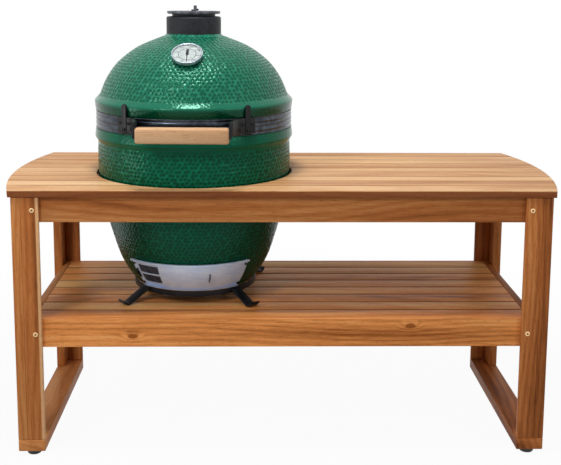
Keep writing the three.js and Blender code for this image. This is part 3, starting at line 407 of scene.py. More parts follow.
def wood(name, along, tones, rings=0.017, roughness=0.5, painted_sheen_above=None, seams=None, knots=(),
         sap_from=None):
    """Sawn hardwood: growth rings about a heart that wanders along the board, drawn-out fibres,
    short dark pores, and a tone of its own for each board. Below a level it is darkened, painted
    shade on the sides of boards whose top face carries painted sheen. Beside the seams of a row of
    boards (its start, pitch and count, then the reach and the tone) it is dark, partly dirt and
    partly painted shade. Rings bend round the knots, each a place in x and z, and right of a line
    it is pale sapwood."""
    finish = Finish(name, Roughness=roughness, Specular_IOR_Level=0.14)
    squeeze = [1.0 if axis != along else 0.06 for axis in "xyz"]
    across = [1.0 if axis != along else 0.0 for axis in "xyz"]
    board, knotted = finish.mark(), 0.0
    offset = finish.node("CombineXYZ", (board * 3.7, board * 5.3, board * 7.9))
    place = finish.moved(offset)
    drawn = finish.stretched(place, squeeze)
    slow = finish.stretched(place, [value ** 0.5 for value in squeeze])
    wander = finish.noise(slow, 4.0, 2.0, 0.4)
    heart = finish.node("CombineXYZ", (board * 0.11 + 0.02, board * 0.07 + 0.03, board * 0.09 + 0.04))
    distance = finish.length(finish.stretched(finish.moved(heart), across))
    phase = (distance + wander * 0.16) * (2 * math.pi / rings)
    for x, z in knots:
        reach = finish.length(finish.stretched(finish.moved((-x, 0, -z)), (0.5, 0, 1)))
        phase = phase - finish.band(reach, 0.0, 0.022) * 9.0
        knotted = knotted + (finish.band(reach, 0.002, 0.009) - 1.0) * 0.7
    ring = (phase.math("SINE") * 0.5 + 0.5) ** 1.6
    fibre = finish.noise(drawn, 240.0, 5.0, 0.65)
    pores = finish.band(finish.noise(drawn, 900.0, 1.0), 0.63, 0.74)
    broad = finish.noise(drawn, 20.0, 3.0)
    own = board.math("FRACT")
    tone = fibre * 0.55 + (broad - 0.5) * 1.1 + own * 0.30 - ring * 0.13 + 0.11 + knotted
    dark, middle, pale = tones
    stops = [(0.10, dark), (0.46, middle), (0.88, pale)]
    plain = finish.node("ValToRGB", {"Fac": tone}, stops=stops)
    if sap_from is not None:
        sap = finish.band(finish.along(0), sap_from, sap_from + SAP_BLEND) * SAP_SHARE
        plain = finish.either(plain, SAPWOOD, sap)
    # Beside each seam the colour is multiplied darker: dirt, and painted shade falling into the gap.
    if seams:
        start, step, count, reach, seam_dirt_and_shade = seams
        turn = (finish.along(1) - start) / step
        turn = turn.math("MAXIMUM", 0.5).math("MINIMUM", count - 0.5).math("FRACT")
        edge = (0.5 - (turn - 0.5).math("ABSOLUTE")) * step
        darkened = finish.either(plain, seam_dirt_and_shade, 1.0, "MULTIPLY")
        plain = finish.either(darkened, plain, finish.band(edge, 0.0004, reach))
    # Below the top face the colour is multiplied darker: painted shade on the sides, against the painted sheen of
    # the top.
    if painted_sheen_above is not None:
        painted_sheen_share = finish.band(finish.along(2), painted_sheen_above - 0.0035, painted_sheen_above - 0.0010)
        darkened = finish.either(plain, SIDE_PAINTED_SHADE, 1.0, "MULTIPLY")
        plain = finish.either(darkened, plain, painted_sheen_share)
    finish.set(Base_Color=finish.either(plain, PORE, pores * 0.5))
    finish.bump(fibre - pores * 0.6, 0.0004, 0.5)
    return finish


def seed():
    """A board's own number: its fraction sets the tone, and the whole shifts the grain."""
    return float(np.round(chance.uniform(0, 9), 3))


top_low, top_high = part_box("top_board_front")
front, half_depth = top_low.y, -top_low.y
underside, surface = top_low.z, top_high.z
pitch = (2 * half_depth + BOARD_GAP) / BOARDS
top_seams = (front - BOARD_GAP / 2, pitch, BOARDS, TOP_SEAM_REACH, TOP_SEAM_DIRT_AND_SHADE)
# Its tones carry painted sheen on the top face and painted shade on the sides below it.
top_along_x = wood("top_wood", "x", TOP_WOOD_PAINTED_SHEEN, painted_sheen_above=surface, seams=top_seams)
frame_along = {along: wood(f"frame_wood_{along}", along, FRAME_WOOD) for along in "xyz"}
bow_radius = (half_depth ** 2 + END_BOW ** 2) / (2 * END_BOW)
gasket_low, gasket_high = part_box("rim_gasket")
GRILL_AXIS = (gasket_low + gasket_high) / 2


def bow(y):
    """The bowed end of the table: an arc of one circle through the crown and both corners."""
    return HALF_LENGTH - bow_radius + np.sqrt(bow_radius ** 2 - y ** 2)


def hole(y):
    """Half the width of the hole at a depth."""
    return np.sqrt(HOLE_RADIUS ** 2 - y ** 2)


def board_run(i):
    """Depths across a board, from its front edge to its back edge."""
    start = front + i * pitch
    return np.linspace(start, start + pitch - BOARD_GAP, END_POINTS)


def cut_board(i, side):
    """Plan of a board on one side of the hole."""
    y = board_run(i)
    dense = np.linspace(y[0], y[-1], 3 * END_POINTS)
    if side < 0:
        right = np.stack([GRILL_AXIS.x - hole(dense), dense], 1)
        left = np.stack([-bow(y[::-1]), y[::-1]], 1)
    else:
        right = np.stack([bow(y), y], 1)
        left = np.stack([GRILL_AXIS.x + hole(dense[::-1]), dense[::-1]], 1)
    return np.concatenate([right, left])


def edge_board():
    """Plan of the front board, whose back edge is notched by the hole."""
    y = board_run(0)
    start = math.asin(y[-1] / HOLE_RADIUS)
    turn = np.linspace(start, -math.pi - start, HOLE_POINTS)
    notch = HOLE_RADIUS * np.stack([np.cos(turn), np.sin(turn)], 1) + [GRILL_AXIS.x, 0]
    right, left = np.stack([bow(y), y], 1), np.stack([-bow(y[::-1]), y[::-1]], 1)
    return np.concatenate([right, notch, left])


front_plan = edge_board()
Piece().tube(slab(front_plan, underside, surface), seed()).make(
    "front_board", "root", "hardwood", top_along_x, "top_board_front")
rear_plan = (front_plan * [1, -1])[::-1]
Piece().tube(slab(rear_plan, underside, surface), seed()).make(
    "rear_board", "root", "hardwood", top_along_x, "top_board_rear")
for side, name in ((-1, "left"), (1, "right")):
    boards = Piece()
    for i in range(1, BOARDS - 1):
        boards.tube(slab(cut_board(i, side), underside, surface), seed())
    boards.make(f"{name}_boards", "root", "hardwood", top_along_x, f"top_panel_{name}")

batten_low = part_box("top_panel_right")[0].z
inner_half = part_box("top_rail_left")[1].y
batten_high = underside - BATTEN_SEAT
hole_left, hole_right = GRILL_AXIS.x - HOLE_RADIUS, GRILL_AXIS.x + HOLE_RADIUS
bay_middle = (hole_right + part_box("post_front_right")[1].x - POST_SIDE) / 2 - BATTEN_WIDTH / 2
battens = Piece()
for x in (hole_left - BATTEN_WIDTH - BATTEN_MARGIN, hole_right + BATTEN_MARGIN, bay_middle):
    corner = (x, -inner_half, batten_low)
    battens.tube(bar(corner, (x + BATTEN_WIDTH, inner_half, batten_high), "y"), seed())
battens.make("top_battens", "root", "hardwood", frame_along["y"])


# Frame. Four L-shaped posts of two boards each stand on two runners, and each runner on two black
# glides. Short rails join the posts at the ends, long rails at front and rear, and slats the shelf.
POST_FACE = 0.012
SAP_WIDTH = 0.009
REBATE = 0.008
SLAT_THICKNESS = 0.018
SLATS = 8
SEAT = 0.0003
SHELF_KNOTS = [(0.338, 0.358), (-0.394, 0.330)]
# Multiplied into the shelf slats beside their gaps: dirt, and painted shade of the gaps.
SHELF_SEAM_DIRT_AND_SHADE = colour(96, 66, 44)
SHELF_SEAM_REACH = 0.006
SHELF_WOOD = [colour(158, 88, 36), colour(236, 152, 82), colour(252, 204, 134)]


def plank(name, node, along):
    """A single board that fills the box of its CAD node."""
    rings = bar(*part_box(node), along)
    Piece().tube(rings, seed()).make(name, "root", "hardwood", frame_along[along], node)


for side, sign in (("left", -1), ("right", 1)):
    plank(f"{side}_runner", f"runner_{side}", "y")
    for end, outward in (("front", -1), ("rear", 1)):
        low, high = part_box(f"post_{end}_{side}")
        side_low, side_high, face_low, face_high = (list(corner) for corner in (low, high, low, high))
        if sign < 0:
            side_high[0] = face_low[0] = low.x + POST_SIDE
        else:
            side_low[0] = face_high[0] = high.x - POST_SIDE
        if outward < 0:
            face_high[1] = low.y + POST_FACE
        else:
            face_low[1] = high.y - POST_FACE
        post = Piece().tube(bar(side_low, side_high, "z"), seed())
        post.tube(bar(face_low, face_high, "z"), seed())
        post_wood = frame_along["z"]
        if (end, side) == ("front", "left"):
            post_wood = wood("post_wood_with_sap", "z", FRAME_WOOD, sap_from=high.x - SAP_WIDTH)
        post.make(f"{end}_{side}_post", "root", "hardwood", post_wood, f"post_{end}_{side}")
    for level in ("top", "shelf"):
        plank(f"{side}_{level}_rail", f"{level}_rail_{side}", "y")

slat_low, slat_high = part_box("shelf_slat_1")
slat_pitch = (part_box(f"shelf_slat_{SLATS}")[0].y - slat_low.y) / (SLATS - 1)
slat_gap = slat_pitch - (slat_high.y - slat_low.y)
shelf_seams = (slat_low.y - slat_gap / 2, slat_pitch, SLATS, SHELF_SEAM_REACH, SHELF_SEAM_DIRT_AND_SHADE)
shelf_along_x = wood("shelf_wood", "x", SHELF_WOOD, seams=shelf_seams)
shelf_apron_wood = wood("shelf_apron_wood", "x", SHELF_WOOD, knots=SHELF_KNOTS)
for end, inward in (("front", 1), ("rear", -1)):
    plank(f"{end}_top_apron", f"top_apron_{end}", "x")
    low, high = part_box(f"shelf_apron_{end}")
    step = high.z - SLAT_THICKNESS - SEAT
    y = (low.y, high.y - REBATE, high.y) if inward > 0 else (high.y, low.y + REBATE, low.y)
    profile = np.array([
        (y[0], low.z), (y[2], low.z), (y[2], step), (y[1], step), (y[1], high.z), (y[0], high.z)])
    Piece().tube(slab(profile[::inward], low.x, high.x, ARRIS / 2, "x"), seed()).make(
        f"{end}_shelf_apron", "root", "hardwood", shelf_apron_wood, f"shelf_apron_{end}")

slats = Piece()
slat_nodes = [f"shelf_slat_{i + 1}" for i in range(SLATS)]
for node in slat_nodes:
    slats.tube(bar(*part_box(node), "x"), seed())
slats.make("shelf_slats", "root", "hardwood", shelf_along_x, *slat_nodes)
plank("bearer_under_shelf", "shelf_bearer", "y")


def circle(radius, count, start=0.0):
    turn = start + np.arange(count) * 2 * np.pi / count
    return radius * np.stack([np.cos(turn), np.sin(turn)], 1)


def turned(profile, count):
    """A profile of radius and height carried round the upright axis: rings from bottom to top."""
    ring = circle(1, count)
    profile = np.asarray(profile, float)
    flat = profile[:, :1, None] * ring[None]
    height = np.broadcast_to(profile[:, 1, None, None], (*flat.shape[:2], 1))
    return np.concatenate([flat, height], -1)


def mottled(name, tones, scale, **constants):
    """A material that wavers a little between two tones."""
    finish = Finish(name, **constants)
    finish.set(Base_Color=finish.either(*tones, finish.noise(finish.place, scale)))
    return finish


glide_finish = mottled("glide_plastic", (colour(16, 16, 16), colour(38, 38, 38)), 300.0, Roughness=0.55)
glides = Piece()
glide_nodes = [f"glide_{end}_{side}" for end in ("front", "rear") for side in ("left", "right")]
for node in glide_nodes:
    low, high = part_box(node)
    radius, height = (high.x - low.x) / 2, high.z - low.z
    profile = [(radius * 0.9, 0), (radius, 0.002), (radius, height * 0.7)]
    profile += [(radius * 0.8, height * 0.75), (radius * 0.8, height)]
    glides.tube(turned(profile, 48) + [(low.x + high.x) / 2, (low.y + high.y) / 2, 0])
glides.make("floor_glides", "root", "glide_black", glide_finish, *glide_nodes)


# Frame bolts. Eight brass barrel heads with a hexagon socket, two on each post, pull the posts
# against the long rails.
BOLT_RADIUS = 0.0062
BOLT_PROUD = 0.0014
BOLT_SOCKET = 0.0028
BOLT_SOCKET_DEPTH = 0.0018
BOLT_X = 0.646
BOLT_LEVELS = [sum(corner.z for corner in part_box(f"{level}_apron_front")) / 2 for level in ("top", "shelf")]
BRASS = colour(214, 176, 120), colour(240, 214, 170)

brass = mottled("bolt_brass", BRASS, 700.0, Metallic=0.9, Roughness=0.32)


def headed(profile, socket, depth, count=36):
    """A bolt head about +Z: the profile of its outside, then a hexagon socket sunk in its face."""
    top = profile[-1][1]
    outside = turned(profile, count)
    turn = np.arange(count) * 2 * np.pi / count
    reach = socket / np.cos((turn + np.pi / 6) % (np.pi / 3) - np.pi / 6)
    hexagon = reach[:, None] * np.stack([np.cos(turn), np.sin(turn)], 1)
    rings = [np.column_stack([hexagon, np.full(count, level)]) for level in (top, top - depth)]
    return np.concatenate([outside, np.stack(rings)])


def facing(points, side, place):
    """Turns a piece drawn about +Z so that it faces the front (side -1) or the rear (side 1)."""
    x, y, z = np.moveaxis(points, -1, 0)
    return np.stack([-side * x, side * z, y], -1) + place


bolt_profile = [
    (BOLT_RADIUS, -0.001), (BOLT_RADIUS, BOLT_PROUD * 0.6), (BOLT_RADIUS * 0.93, BOLT_PROUD * 0.9),
    (BOLT_RADIUS * 0.8, BOLT_PROUD)]
bolt_head = headed(bolt_profile, BOLT_SOCKET, BOLT_SOCKET_DEPTH)
bolts = Piece()
for side in (-1, 1):
    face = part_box("post_front_left")[0].y if side < 0 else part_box("post_rear_left")[1].y
    for x in (-BOLT_X, BOLT_X):
        for level in BOLT_LEVELS:
            bolts.tube(facing(bolt_head, side, (x, face, level)))
bolts.make("frame_bolts", "root", "bright_steel", brass)


# Ceramic shells. The base and the lid of the grill are thick ceramic under a green glaze, dimpled
# all over like a hide, with smooth collars beside the steel bands. The base has a port for the draft.
JOINT = GRILL_AXIS.z
hinge = next(joint for joint in frame["joints"] if joint["name"] == "lid_hinge")
GRILL_TURN = (math.atan2(hinge["axis"][1], hinge["axis"][0]) + math.pi / 2) % math.pi - math.pi / 2
BODY_RADIUS = 0.270
BASE_DEPTH = 0.4715
DOME_HEIGHT = 0.226
WALL = 0.024
FLOOR_THICKNESS = 0.028
RIM_RADIUS = 0.271
RIM_HEIGHT = 0.0255
LIP_FOOT = 0.0035
LIP_CREST = 0.0065
LIP_HEIGHT = 0.0245
LIP_EASES = np.array([[0.0012], [0.0045]])
JOINT_GAP = 0.0023
NECK_RADIUS = 0.062
NECK_HEIGHT = 0.020
THROAT_RADIUS = 0.049
DOME_SHARES = [(0.972, 0.292), (0.902, 0.487), (0.782, 0.682), (0.59, 0.858), (0.383, 0.967), (0.304, 1)]
BASE_SHARES = [
    (1, 0.13), (1, 0.327), (0.952, 0.507), (0.862, 0.702), (0.772, 0.851), (0.65, 0.962), (0.55, 1)]
PORT_ANGLES = math.radians(-41.8), math.radians(0.8)
PORT_LEVELS = -0.439, -0.389
PIT_PITCH = 0.0118
PIT_DEPTH = 0.0020
PIT_REACH = 0.72
PIT_FADE = 0.012
PIT_ROW_SHARE, PIT_JITTER = 0.87, 0.17
SMOOTH_TONE = 0.4
DOME_GRID = (118, 720)
BASE_GRID = (160, 540)
VAULT_STEP, BOWL_STEP = 8, 4
FLOOR_CLEAR, FLOOR_CORNER = 0.003, 0.009
GLAZE_RIDGE = colour(34, 120, 94)
GLAZE_PIT = colour(3, 78, 56)
GLOSS_TINT = colour(170, 255, 222)
# Multiplied into the glaze below given levels: painted shade under the lid's crest and towards the bottom of the
# base.
PAINTED_SHADE_BELOW = colour(80, 158, 134)
# Multiplied into the base's glaze: painted shade, as the base stands under the table top.
BASE_PAINTED_SHADE_TINT = colour(80, 232, 218)
# Levels of the base's painted shade: full at the first, none at the second.
BASE_SHADE = (0.35, 0.80)


def in_grill(points):
    """From the grill's own axes, with height counted from the joint, to the table's."""
    c, s = math.cos(GRILL_TURN), math.sin(GRILL_TURN)
    x, y, z = np.moveaxis(np.asarray(points, float), -1, 0)
    return np.stack([c * x - s * y + GRILL_AXIS.x, s * x + c * y + GRILL_AXIS.y, z + JOINT], -1)


def spline(points, count):
    """A smooth curve through points, each stretch a cubic whose end slopes are half the step between
    the neighbours, sampled at even distances."""
    p = np.asarray(points, float)
    first, last = p[:-1], p[1:]
    slope_in = (last - np.vstack([p[:1], p[:-2]])) / 2
    slope_out = (np.vstack([p[2:], p[-1:]]) - first) / 2
    t = np.linspace(0, 1, 60, endpoint=False)[:, None, None]
    blend = (2 * t**3 - 3 * t**2 + 1) * first + (t**3 - 2 * t**2 + t) * slope_in
    blend = blend + (3 * t**2 - 2 * t**3) * last + (t**3 - t**2) * slope_out
    fine = np.vstack([blend.swapaxes(0, 1).reshape(-1, p.shape[1]), p[-1:]])
    run = np.concatenate([[0], np.cumsum(np.linalg.norm(np.diff(fine, axis=0), axis=1))])
    even = np.linspace(0, run[-1], count)
    return np.stack([np.interp(even, run, fine[:, k]) for k in range(p.shape[1])], 1)


def bent(points, radius, steps=7):
    """A path with rounded corners: each becomes a parabola that starts and ends at radius from it."""
    p = np.asarray(points, float)
    here, before, after = p[1:-1], p[:-2] - p[1:-1], p[2:] - p[1:-1]
    start = here + radius * before / np.linalg.norm(before, axis=1)[:, None]
    end = here + radius * after / np.linalg.norm(after, axis=1)[:, None]
    t = np.linspace(0, 1, steps)[:, None, None]
    curve = (1 - t) ** 2 * start + 2 * t * (1 - t) * here + t**2 * end
    return np.vstack([p[:1], curve.swapaxes(0, 1).reshape(-1, p.shape[1]), p[-1:]])


def leftward(curve):
    """At each point of a curve, the direction to the left of its run. On a shell it points inwards."""
    step = np.gradient(curve, axis=0)
    return np.stack([-step[:, 1], step[:, 0]], 1) / np.hypot(*step.T)[:, None]


def collar(side, end):
    """The smooth lip of a shell: out from its rim beside the band, up to a rounded crest, and in to
    the dimpled body. Side is 1 for the lid and -1 for the base."""
    crest = side * (RIM_HEIGHT + LIP_HEIGHT)
    foot = side * RIM_HEIGHT
    corners = [(RIM_RADIUS, foot), (RIM_RADIUS + LIP_FOOT, foot), (RIM_RADIUS + LIP_CREST, crest), end]
    return bent(corners, LIP_EASES)


def pits(angle, run, radius, table):
    """Depth of the nearest dimple. Dimples stand in rows a fixed run apart. Each row has a whole number
    of them for its girth, every other row is shifted by half a step, and each dimple is moved a little."""
    row_gap = PIT_PITCH * PIT_ROW_SHARE
    rows = np.rint(run / row_gap).astype(int)
    girth = 2 * np.pi * np.interp(np.arange(rows.max() + 2) * row_gap, *table)
    count = np.maximum(np.rint(girth / PIT_PITCH), 6)
    shift = chance.uniform(-PIT_JITTER, PIT_JITTER, (len(count), int(count.max()) + 1, 2))
    nearest = np.full(angle.shape, 1.0)
    for above in (-1, 0, 1):
        row = np.clip(rows + above, 0, len(count) - 1)
        here = count[row]
        stagger = (row % 2) / 2
        for beside in (-1, 0, 1):
            place = np.rint(angle / (2 * np.pi) * here - stagger) + beside
            jitter = shift[row, (place % here).astype(int)]
            sideways = (angle - (place + stagger + jitter[..., 0]) / here * 2 * np.pi) * radius
            upwards = run - (row + jitter[..., 1]) * row_gap
            nearest = np.minimum(nearest, np.hypot(sideways, upwards))
    share = np.minimum(nearest / (PIT_PITCH * PIT_REACH), 1)
    return 0.5 + 0.5 * np.cos(np.pi * share)


def dimpled(profile, start, stop, columns, beyond=0.0):
    """Rings of a shell, and the tone of each point. Between two rows of its profile the surface sinks
    inwards at each dimple. The dimples fade out at both rows, or a distance beyond the second."""
    angle = np.linspace(-np.pi, np.pi, columns, endpoint=False)[None]
    run = np.concatenate([[0], np.cumsum(np.hypot(*np.diff(profile[start:stop], axis=0).T))])
    fade = np.clip(np.minimum(run, run[-1] - run + beyond) / PIT_FADE, 0, 1)[:, None]
    radius = profile[start:stop, 0]
    depth = np.zeros((len(profile), columns))
    depth[start:stop] = pits(angle, run[:, None], radius[:, None], (run, radius)) * fade
    tone = np.full(depth.shape, SMOOTH_TONE)
    tone[start:stop] = depth[start:stop] + SMOOTH_TONE * (1 - fade)
    sunk = profile[:, None] + depth[..., None] * PIT_DEPTH * leftward(profile)[:, None]
    return np.stack([sunk[..., 0] * np.sin(angle), -sunk[..., 0] * np.cos(angle), sunk[..., 1]], -1), tone


def glazed(name, painted_shade_tint, gloss, shade_from, shade_to):
    """Green glaze: thin and pale on the net between the dimples, thick and dark in them, with slow
    clouds, a fine speckle and a green gloss. The colour is multiplied by a tint, painted shade that
    darkens the base. From the second level down to the first it darkens further, painted shade
    under the lid's crest and towards the bottom of the base."""
    glaze = Finish(name, IOR=1.45, Specular_IOR_Level=gloss, Specular_Tint=GLOSS_TINT)
    cloud = glaze.noise(glaze.place, 9.0, 3.0)
    fine = glaze.noise(glaze.place, 420.0, 2.0)
    sunk_in = glaze.band(glaze.mark() + (fine - 0.5) * 0.2, 0.05, 0.75)
    level = glaze.band(glaze.along(2), shade_from, shade_to)
    plain = glaze.either(GLAZE_RIDGE, GLAZE_PIT, sunk_in)
    clouded = glaze.either(plain, GLAZE_PIT, glaze.band(cloud, 0.45, 0.75) * 0.2)
    # The tint multiplied in here is painted shade on the base; the lid's is white.
    toned = glaze.either(clouded, painted_shade_tint, 1.0, "MULTIPLY")
    # Below the levels the colour is multiplied darker: painted shade.
    glaze.set(Base_Color=glaze.either(glaze.either(toned, PAINTED_SHADE_BELOW, 1.0, "MULTIPLY"), toned, level))
    glaze.set(Roughness=fine * 0.08 + 0.10)
    glaze.bump(glaze.noise(glaze.place, 150.0, 2.0), 0.0016, 0.6)
    return glaze


crest_level = JOINT + RIM_HEIGHT + LIP_HEIGHT
# Painted shade: the lid's glaze darkens under its crest; the base's glaze is tinted darker and darkens further
# towards its bottom.
lid_glaze = glazed("lid_glaze", WHITE, 0.4, crest_level - 0.010, crest_level + 0.002)
base_glaze_painted_shade = glazed("base_glaze_painted_shade", BASE_PAINTED_SHADE_TINT, 0.22, *BASE_SHADE)

dome_body = spline([(r * BODY_RADIUS, z * DOME_HEIGHT) for r, z in DOME_SHARES], DOME_GRID[0])
vault = dome_body[::VAULT_STEP] + WALL * leftward(dome_body[::VAULT_STEP])
vault = vault[vault[:, 0] > THROAT_RADIUS]
dome_lip = collar(1, dome_body[0])[:-1]
skirt = np.linspace(dome_lip[-1], dome_body[0], 10)[4:-1]
dome_profile = [
    [(RIM_RADIUS, JOINT_GAP)],
    dome_lip,
    skirt,
    dome_body,
    [(NECK_RADIUS, DOME_HEIGHT + NECK_HEIGHT)],
    [(THROAT_RADIUS, DOME_HEIGHT + NECK_HEIGHT), (THROAT_RADIUS, vault[-1, 1])],
    vault[::-1],
    [(RIM_RADIUS - WALL, RIM_HEIGHT), (RIM_RADIUS - WALL, JOINT_GAP)],
]
dome_start = 1 + len(dome_lip)
dome_stop = dome_start + len(skirt) + DOME_GRID[0]
rings, tone = dimpled(np.concatenate(dome_profile), dome_start, dome_stop, DOME_GRID[1], PIT_FADE)
Piece().tube(in_grill(rings), tone.ravel(), closed=True).make(
    "ceramic_lid", "lid", "glaze", lid_glaze, "dome_shell", sharp=60)

base_body = spline([(r * BODY_RADIUS, -z * BASE_DEPTH) for r, z in BASE_SHARES], BASE_GRID[0])[::-1]
bowl = base_body[::BOWL_STEP] + WALL * leftward(base_body[::BOWL_STEP])
bowl = bowl[bowl[:, 1] > FLOOR_THICKNESS - BASE_DEPTH + FLOOR_CLEAR][::-1]
base_lip = collar(-1, base_body[-1])[-2::-1]
base_profile = [
    base_body,
    base_lip,
    [(RIM_RADIUS, -JOINT_GAP), (RIM_RADIUS - WALL, -JOINT_GAP), (RIM_RADIUS - WALL, -RIM_HEIGHT)],
    bowl,
    [(bowl[-1, 0] - FLOOR_CORNER, FLOOR_THICKNESS - BASE_DEPTH)],
]
bowl_start = sum(map(len, base_profile[:3]))
rings, tone = dimpled(np.concatenate(base_profile), 0, BASE_GRID[0], BASE_GRID[1])


def port_faces(rings):
    """Which faces of the base are kept, and the walls of its port. The port runs between two rows of
    the outside, two rows of the bowl and two columns."""
    rows, around = rings.shape[:2]
    index = np.arange(rows * around).reshape(rows, around)
    angle = np.linspace(-np.pi, np.pi, around, endpoint=False)
    left, right = np.searchsorted(angle, PORT_ANGLES)
    low, high = np.searchsorted(base_body[:, 1], PORT_LEVELS)
    upper, lower = bowl_start + np.searchsorted(-bowl[:, 1], [-level for level in PORT_LEVELS[::-1]])
    keep = np.ones((rows - 1, around), bool)
    keep[low:high, left:right] = keep[upper:lower, left:right] = False
    span = slice(left, right + 1)
    sill = np.stack([index[low, span], index[lower, span]])
    head = np.stack([index[high, span], index[upper, span]])
    quads = [np.stack([a[0, :-1], a[0, 1:], a[1, 1:], a[1, :-1]], 1) for a in (sill, head[:, ::-1])]
    cheeks = [
        np.concatenate([index[low:high + 1, left][::-1], index[upper:lower + 1, left][::-1]])[None],
        np.concatenate([index[low:high + 1, right], index[upper:lower + 1, right]])[None],
    ]
    return keep.ravel(), quads + cheeks


keep, walls = port_faces(rings)
Piece().tube(in_grill(rings), tone.ravel(), keep=keep, walls=walls).make(
    "ceramic_base", "root", "glaze", base_glaze_painted_shade, "base_shell", sharp=60)


# Steel bands and felt. Two bands of dark steel, 22.5 mm tall with a pressed bead, clamp the rims of
# the shells. A ring of felt between the shells seals the lid.
BAND_BEAD = 0.0011
BAND_IN, BAND_OUT = 0.0004, 0.0021
BAND_ROWS = 25
FELT_WIDTH = 0.018
FELT_SWELL = 0.0006


def dark_metal(name, tones, roughness, metallic, scale=60.0, gloss=0.3):
    """Painted or bare steel: two close tones in soft patches, and a fine tooth."""
    finish = Finish(name, Metallic=metallic, Specular_IOR_Level=gloss)
    patch = finish.noise(finish.place, scale, 3.0)
    tooth = finish.noise(finish.place, scale * 14, 2.0)
    finish.set(Base_Color=finish.either(*tones, finish.band(patch, 0.3, 0.7)))
    finish.set(Roughness=tooth * 0.2 + (roughness - 0.1))
    finish.bump(tooth, 0.0002, 0.3)
    return finish


band_steel = dark_metal("band_steel", (colour(52, 58, 66), colour(76, 84, 94)), 0.24, 0.9)
black_steel = dark_metal("black_steel", (colour(7, 8, 10), colour(20, 21, 24)), 0.36, 0.2)
felt = dark_metal("gasket_felt", (colour(28, 28, 27), colour(48, 48, 46)), 0.95, 0.0, 200.0)
for name, body, node in (("clamp_below", "root", "lower_band"), ("clamp_above", "lid", "upper_band")):
    low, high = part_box(node)
    bottom, top = low.z - JOINT, high.z - JOINT
    height = np.linspace(bottom, top, BAND_ROWS)
    share = np.linspace(-1, 1, BAND_ROWS)
    swell = BAND_BEAD * (np.exp(-((share / 0.22) ** 2)) + np.exp(-(((np.abs(share) - 0.93) / 0.09) ** 2)))
    outside = np.stack([RIM_RADIUS + BAND_OUT + swell, height], 1)
    inside = [(RIM_RADIUS + BAND_IN, top), (RIM_RADIUS + BAND_IN, bottom)]
    rings = turned(np.concatenate([outside, inside]), 240)
    Piece().tube(in_grill(rings), closed=True).make(name, body, "band_steel", band_steel, node)
felt_out = (gasket_high.y - gasket_low.y) / 2
felt_in, half = felt_out - FELT_WIDTH, (gasket_high.z - gasket_low.z) / 2
profile = [(felt_in, half), (felt_in, -half), (felt_out, -half), (felt_out + FELT_SWELL, 0), (felt_out, half)]
Piece().tube(in_grill(turned(profile, 180)), closed=True).make(
    "felt_ring", "root", "felt", felt, "rim_gasket")


# Handle. A pale wooden bar with rounded edges, screwed between the ends of two bent straps of black
# steel. Each strap lies on the bands under an upright hook, held by three bolts.
HANDLE_LENGTH = 0.237
HANDLE_HEIGHT = 0.040
HANDLE_DEPTH = 0.032
HANDLE_DROP = 0.010
HANDLE_REACH = 0.342
HANDLE_EASE = 0.006
STRAP_THICKNESS = 0.006
STRAP_HEIGHT = 0.042
STRAP_DROP = 0.018
STRAP_STAND = 0.0051
STRAP_BEND = 0.006
BRACKET_ANGLE = math.radians(35)
BRACKET_FOOT = 0.046
HOOK_WIDTH = 0.016
HOOK_HEIGHT = 0.076
CLAMP_BOLTS = [(-0.0135, 0.008), (0.0135, 0.008), (0.0, -0.0095)]

HANDLE_WOOD = [colour(176, 126, 84), colour(210, 164, 122), colour(230, 192, 152)]
HANDLE_GRAIN = 2.55
pale_wood = wood("handle_wood", "x", HANDLE_WOOD, rings=0.006, roughness=0.48)
low = (-HANDLE_LENGTH / 2, -HANDLE_REACH, -HANDLE_DROP - HANDLE_HEIGHT / 2)
high = (HANDLE_LENGTH / 2, HANDLE_DEPTH - HANDLE_REACH, HANDLE_HEIGHT / 2 - HANDLE_DROP)
Piece().tube(in_grill(bar(low, high, "x", HANDLE_EASE)), HANDLE_GRAIN).make(
    "wooden_grip", "lid", "pale_wood", pale_wood, "handle_bar")


def carried(path, section, up):
    """A closed section carried along a path. Its second direction stays as near to up as it can."""
    path = np.asarray(path, float)
    along = np.gradient(path, axis=0)
    along /= np.linalg.norm(along, axis=1)[:, None]
    side = np.cross(up, along)
    side /= np.linalg.norm(side, axis=1)[:, None]
    lift = np.cross(along, side)
    return path[:, None] + section[:, :1] * side[:, None] + section[:, 1:] * lift[:, None]


def strap(path, width, thickness, up=(0, 0, 1), ease=0.001):
    """A flat bar along a path: a rounded rectangle square to it."""
    return carried(path, rounded((-thickness / 2, -width / 2), (thickness / 2, width / 2), ease), up)


def about_axis(points, angle):
    """A piece drawn at the front of the grill, swung round its axis to the right by an angle."""
    c, s = math.cos(angle), math.sin(angle)
    x, y, z = np.moveaxis(points, -1, 0)
    return np.stack([c * x - s * y, s * x + c * y, z], -1)


def button(radius, height):
    """Profile of a low round bolt head."""
    return [(radius, -0.002), (radius, height * 0.55), (radius * 0.9, height * 0.85), (radius * 0.6, height)]


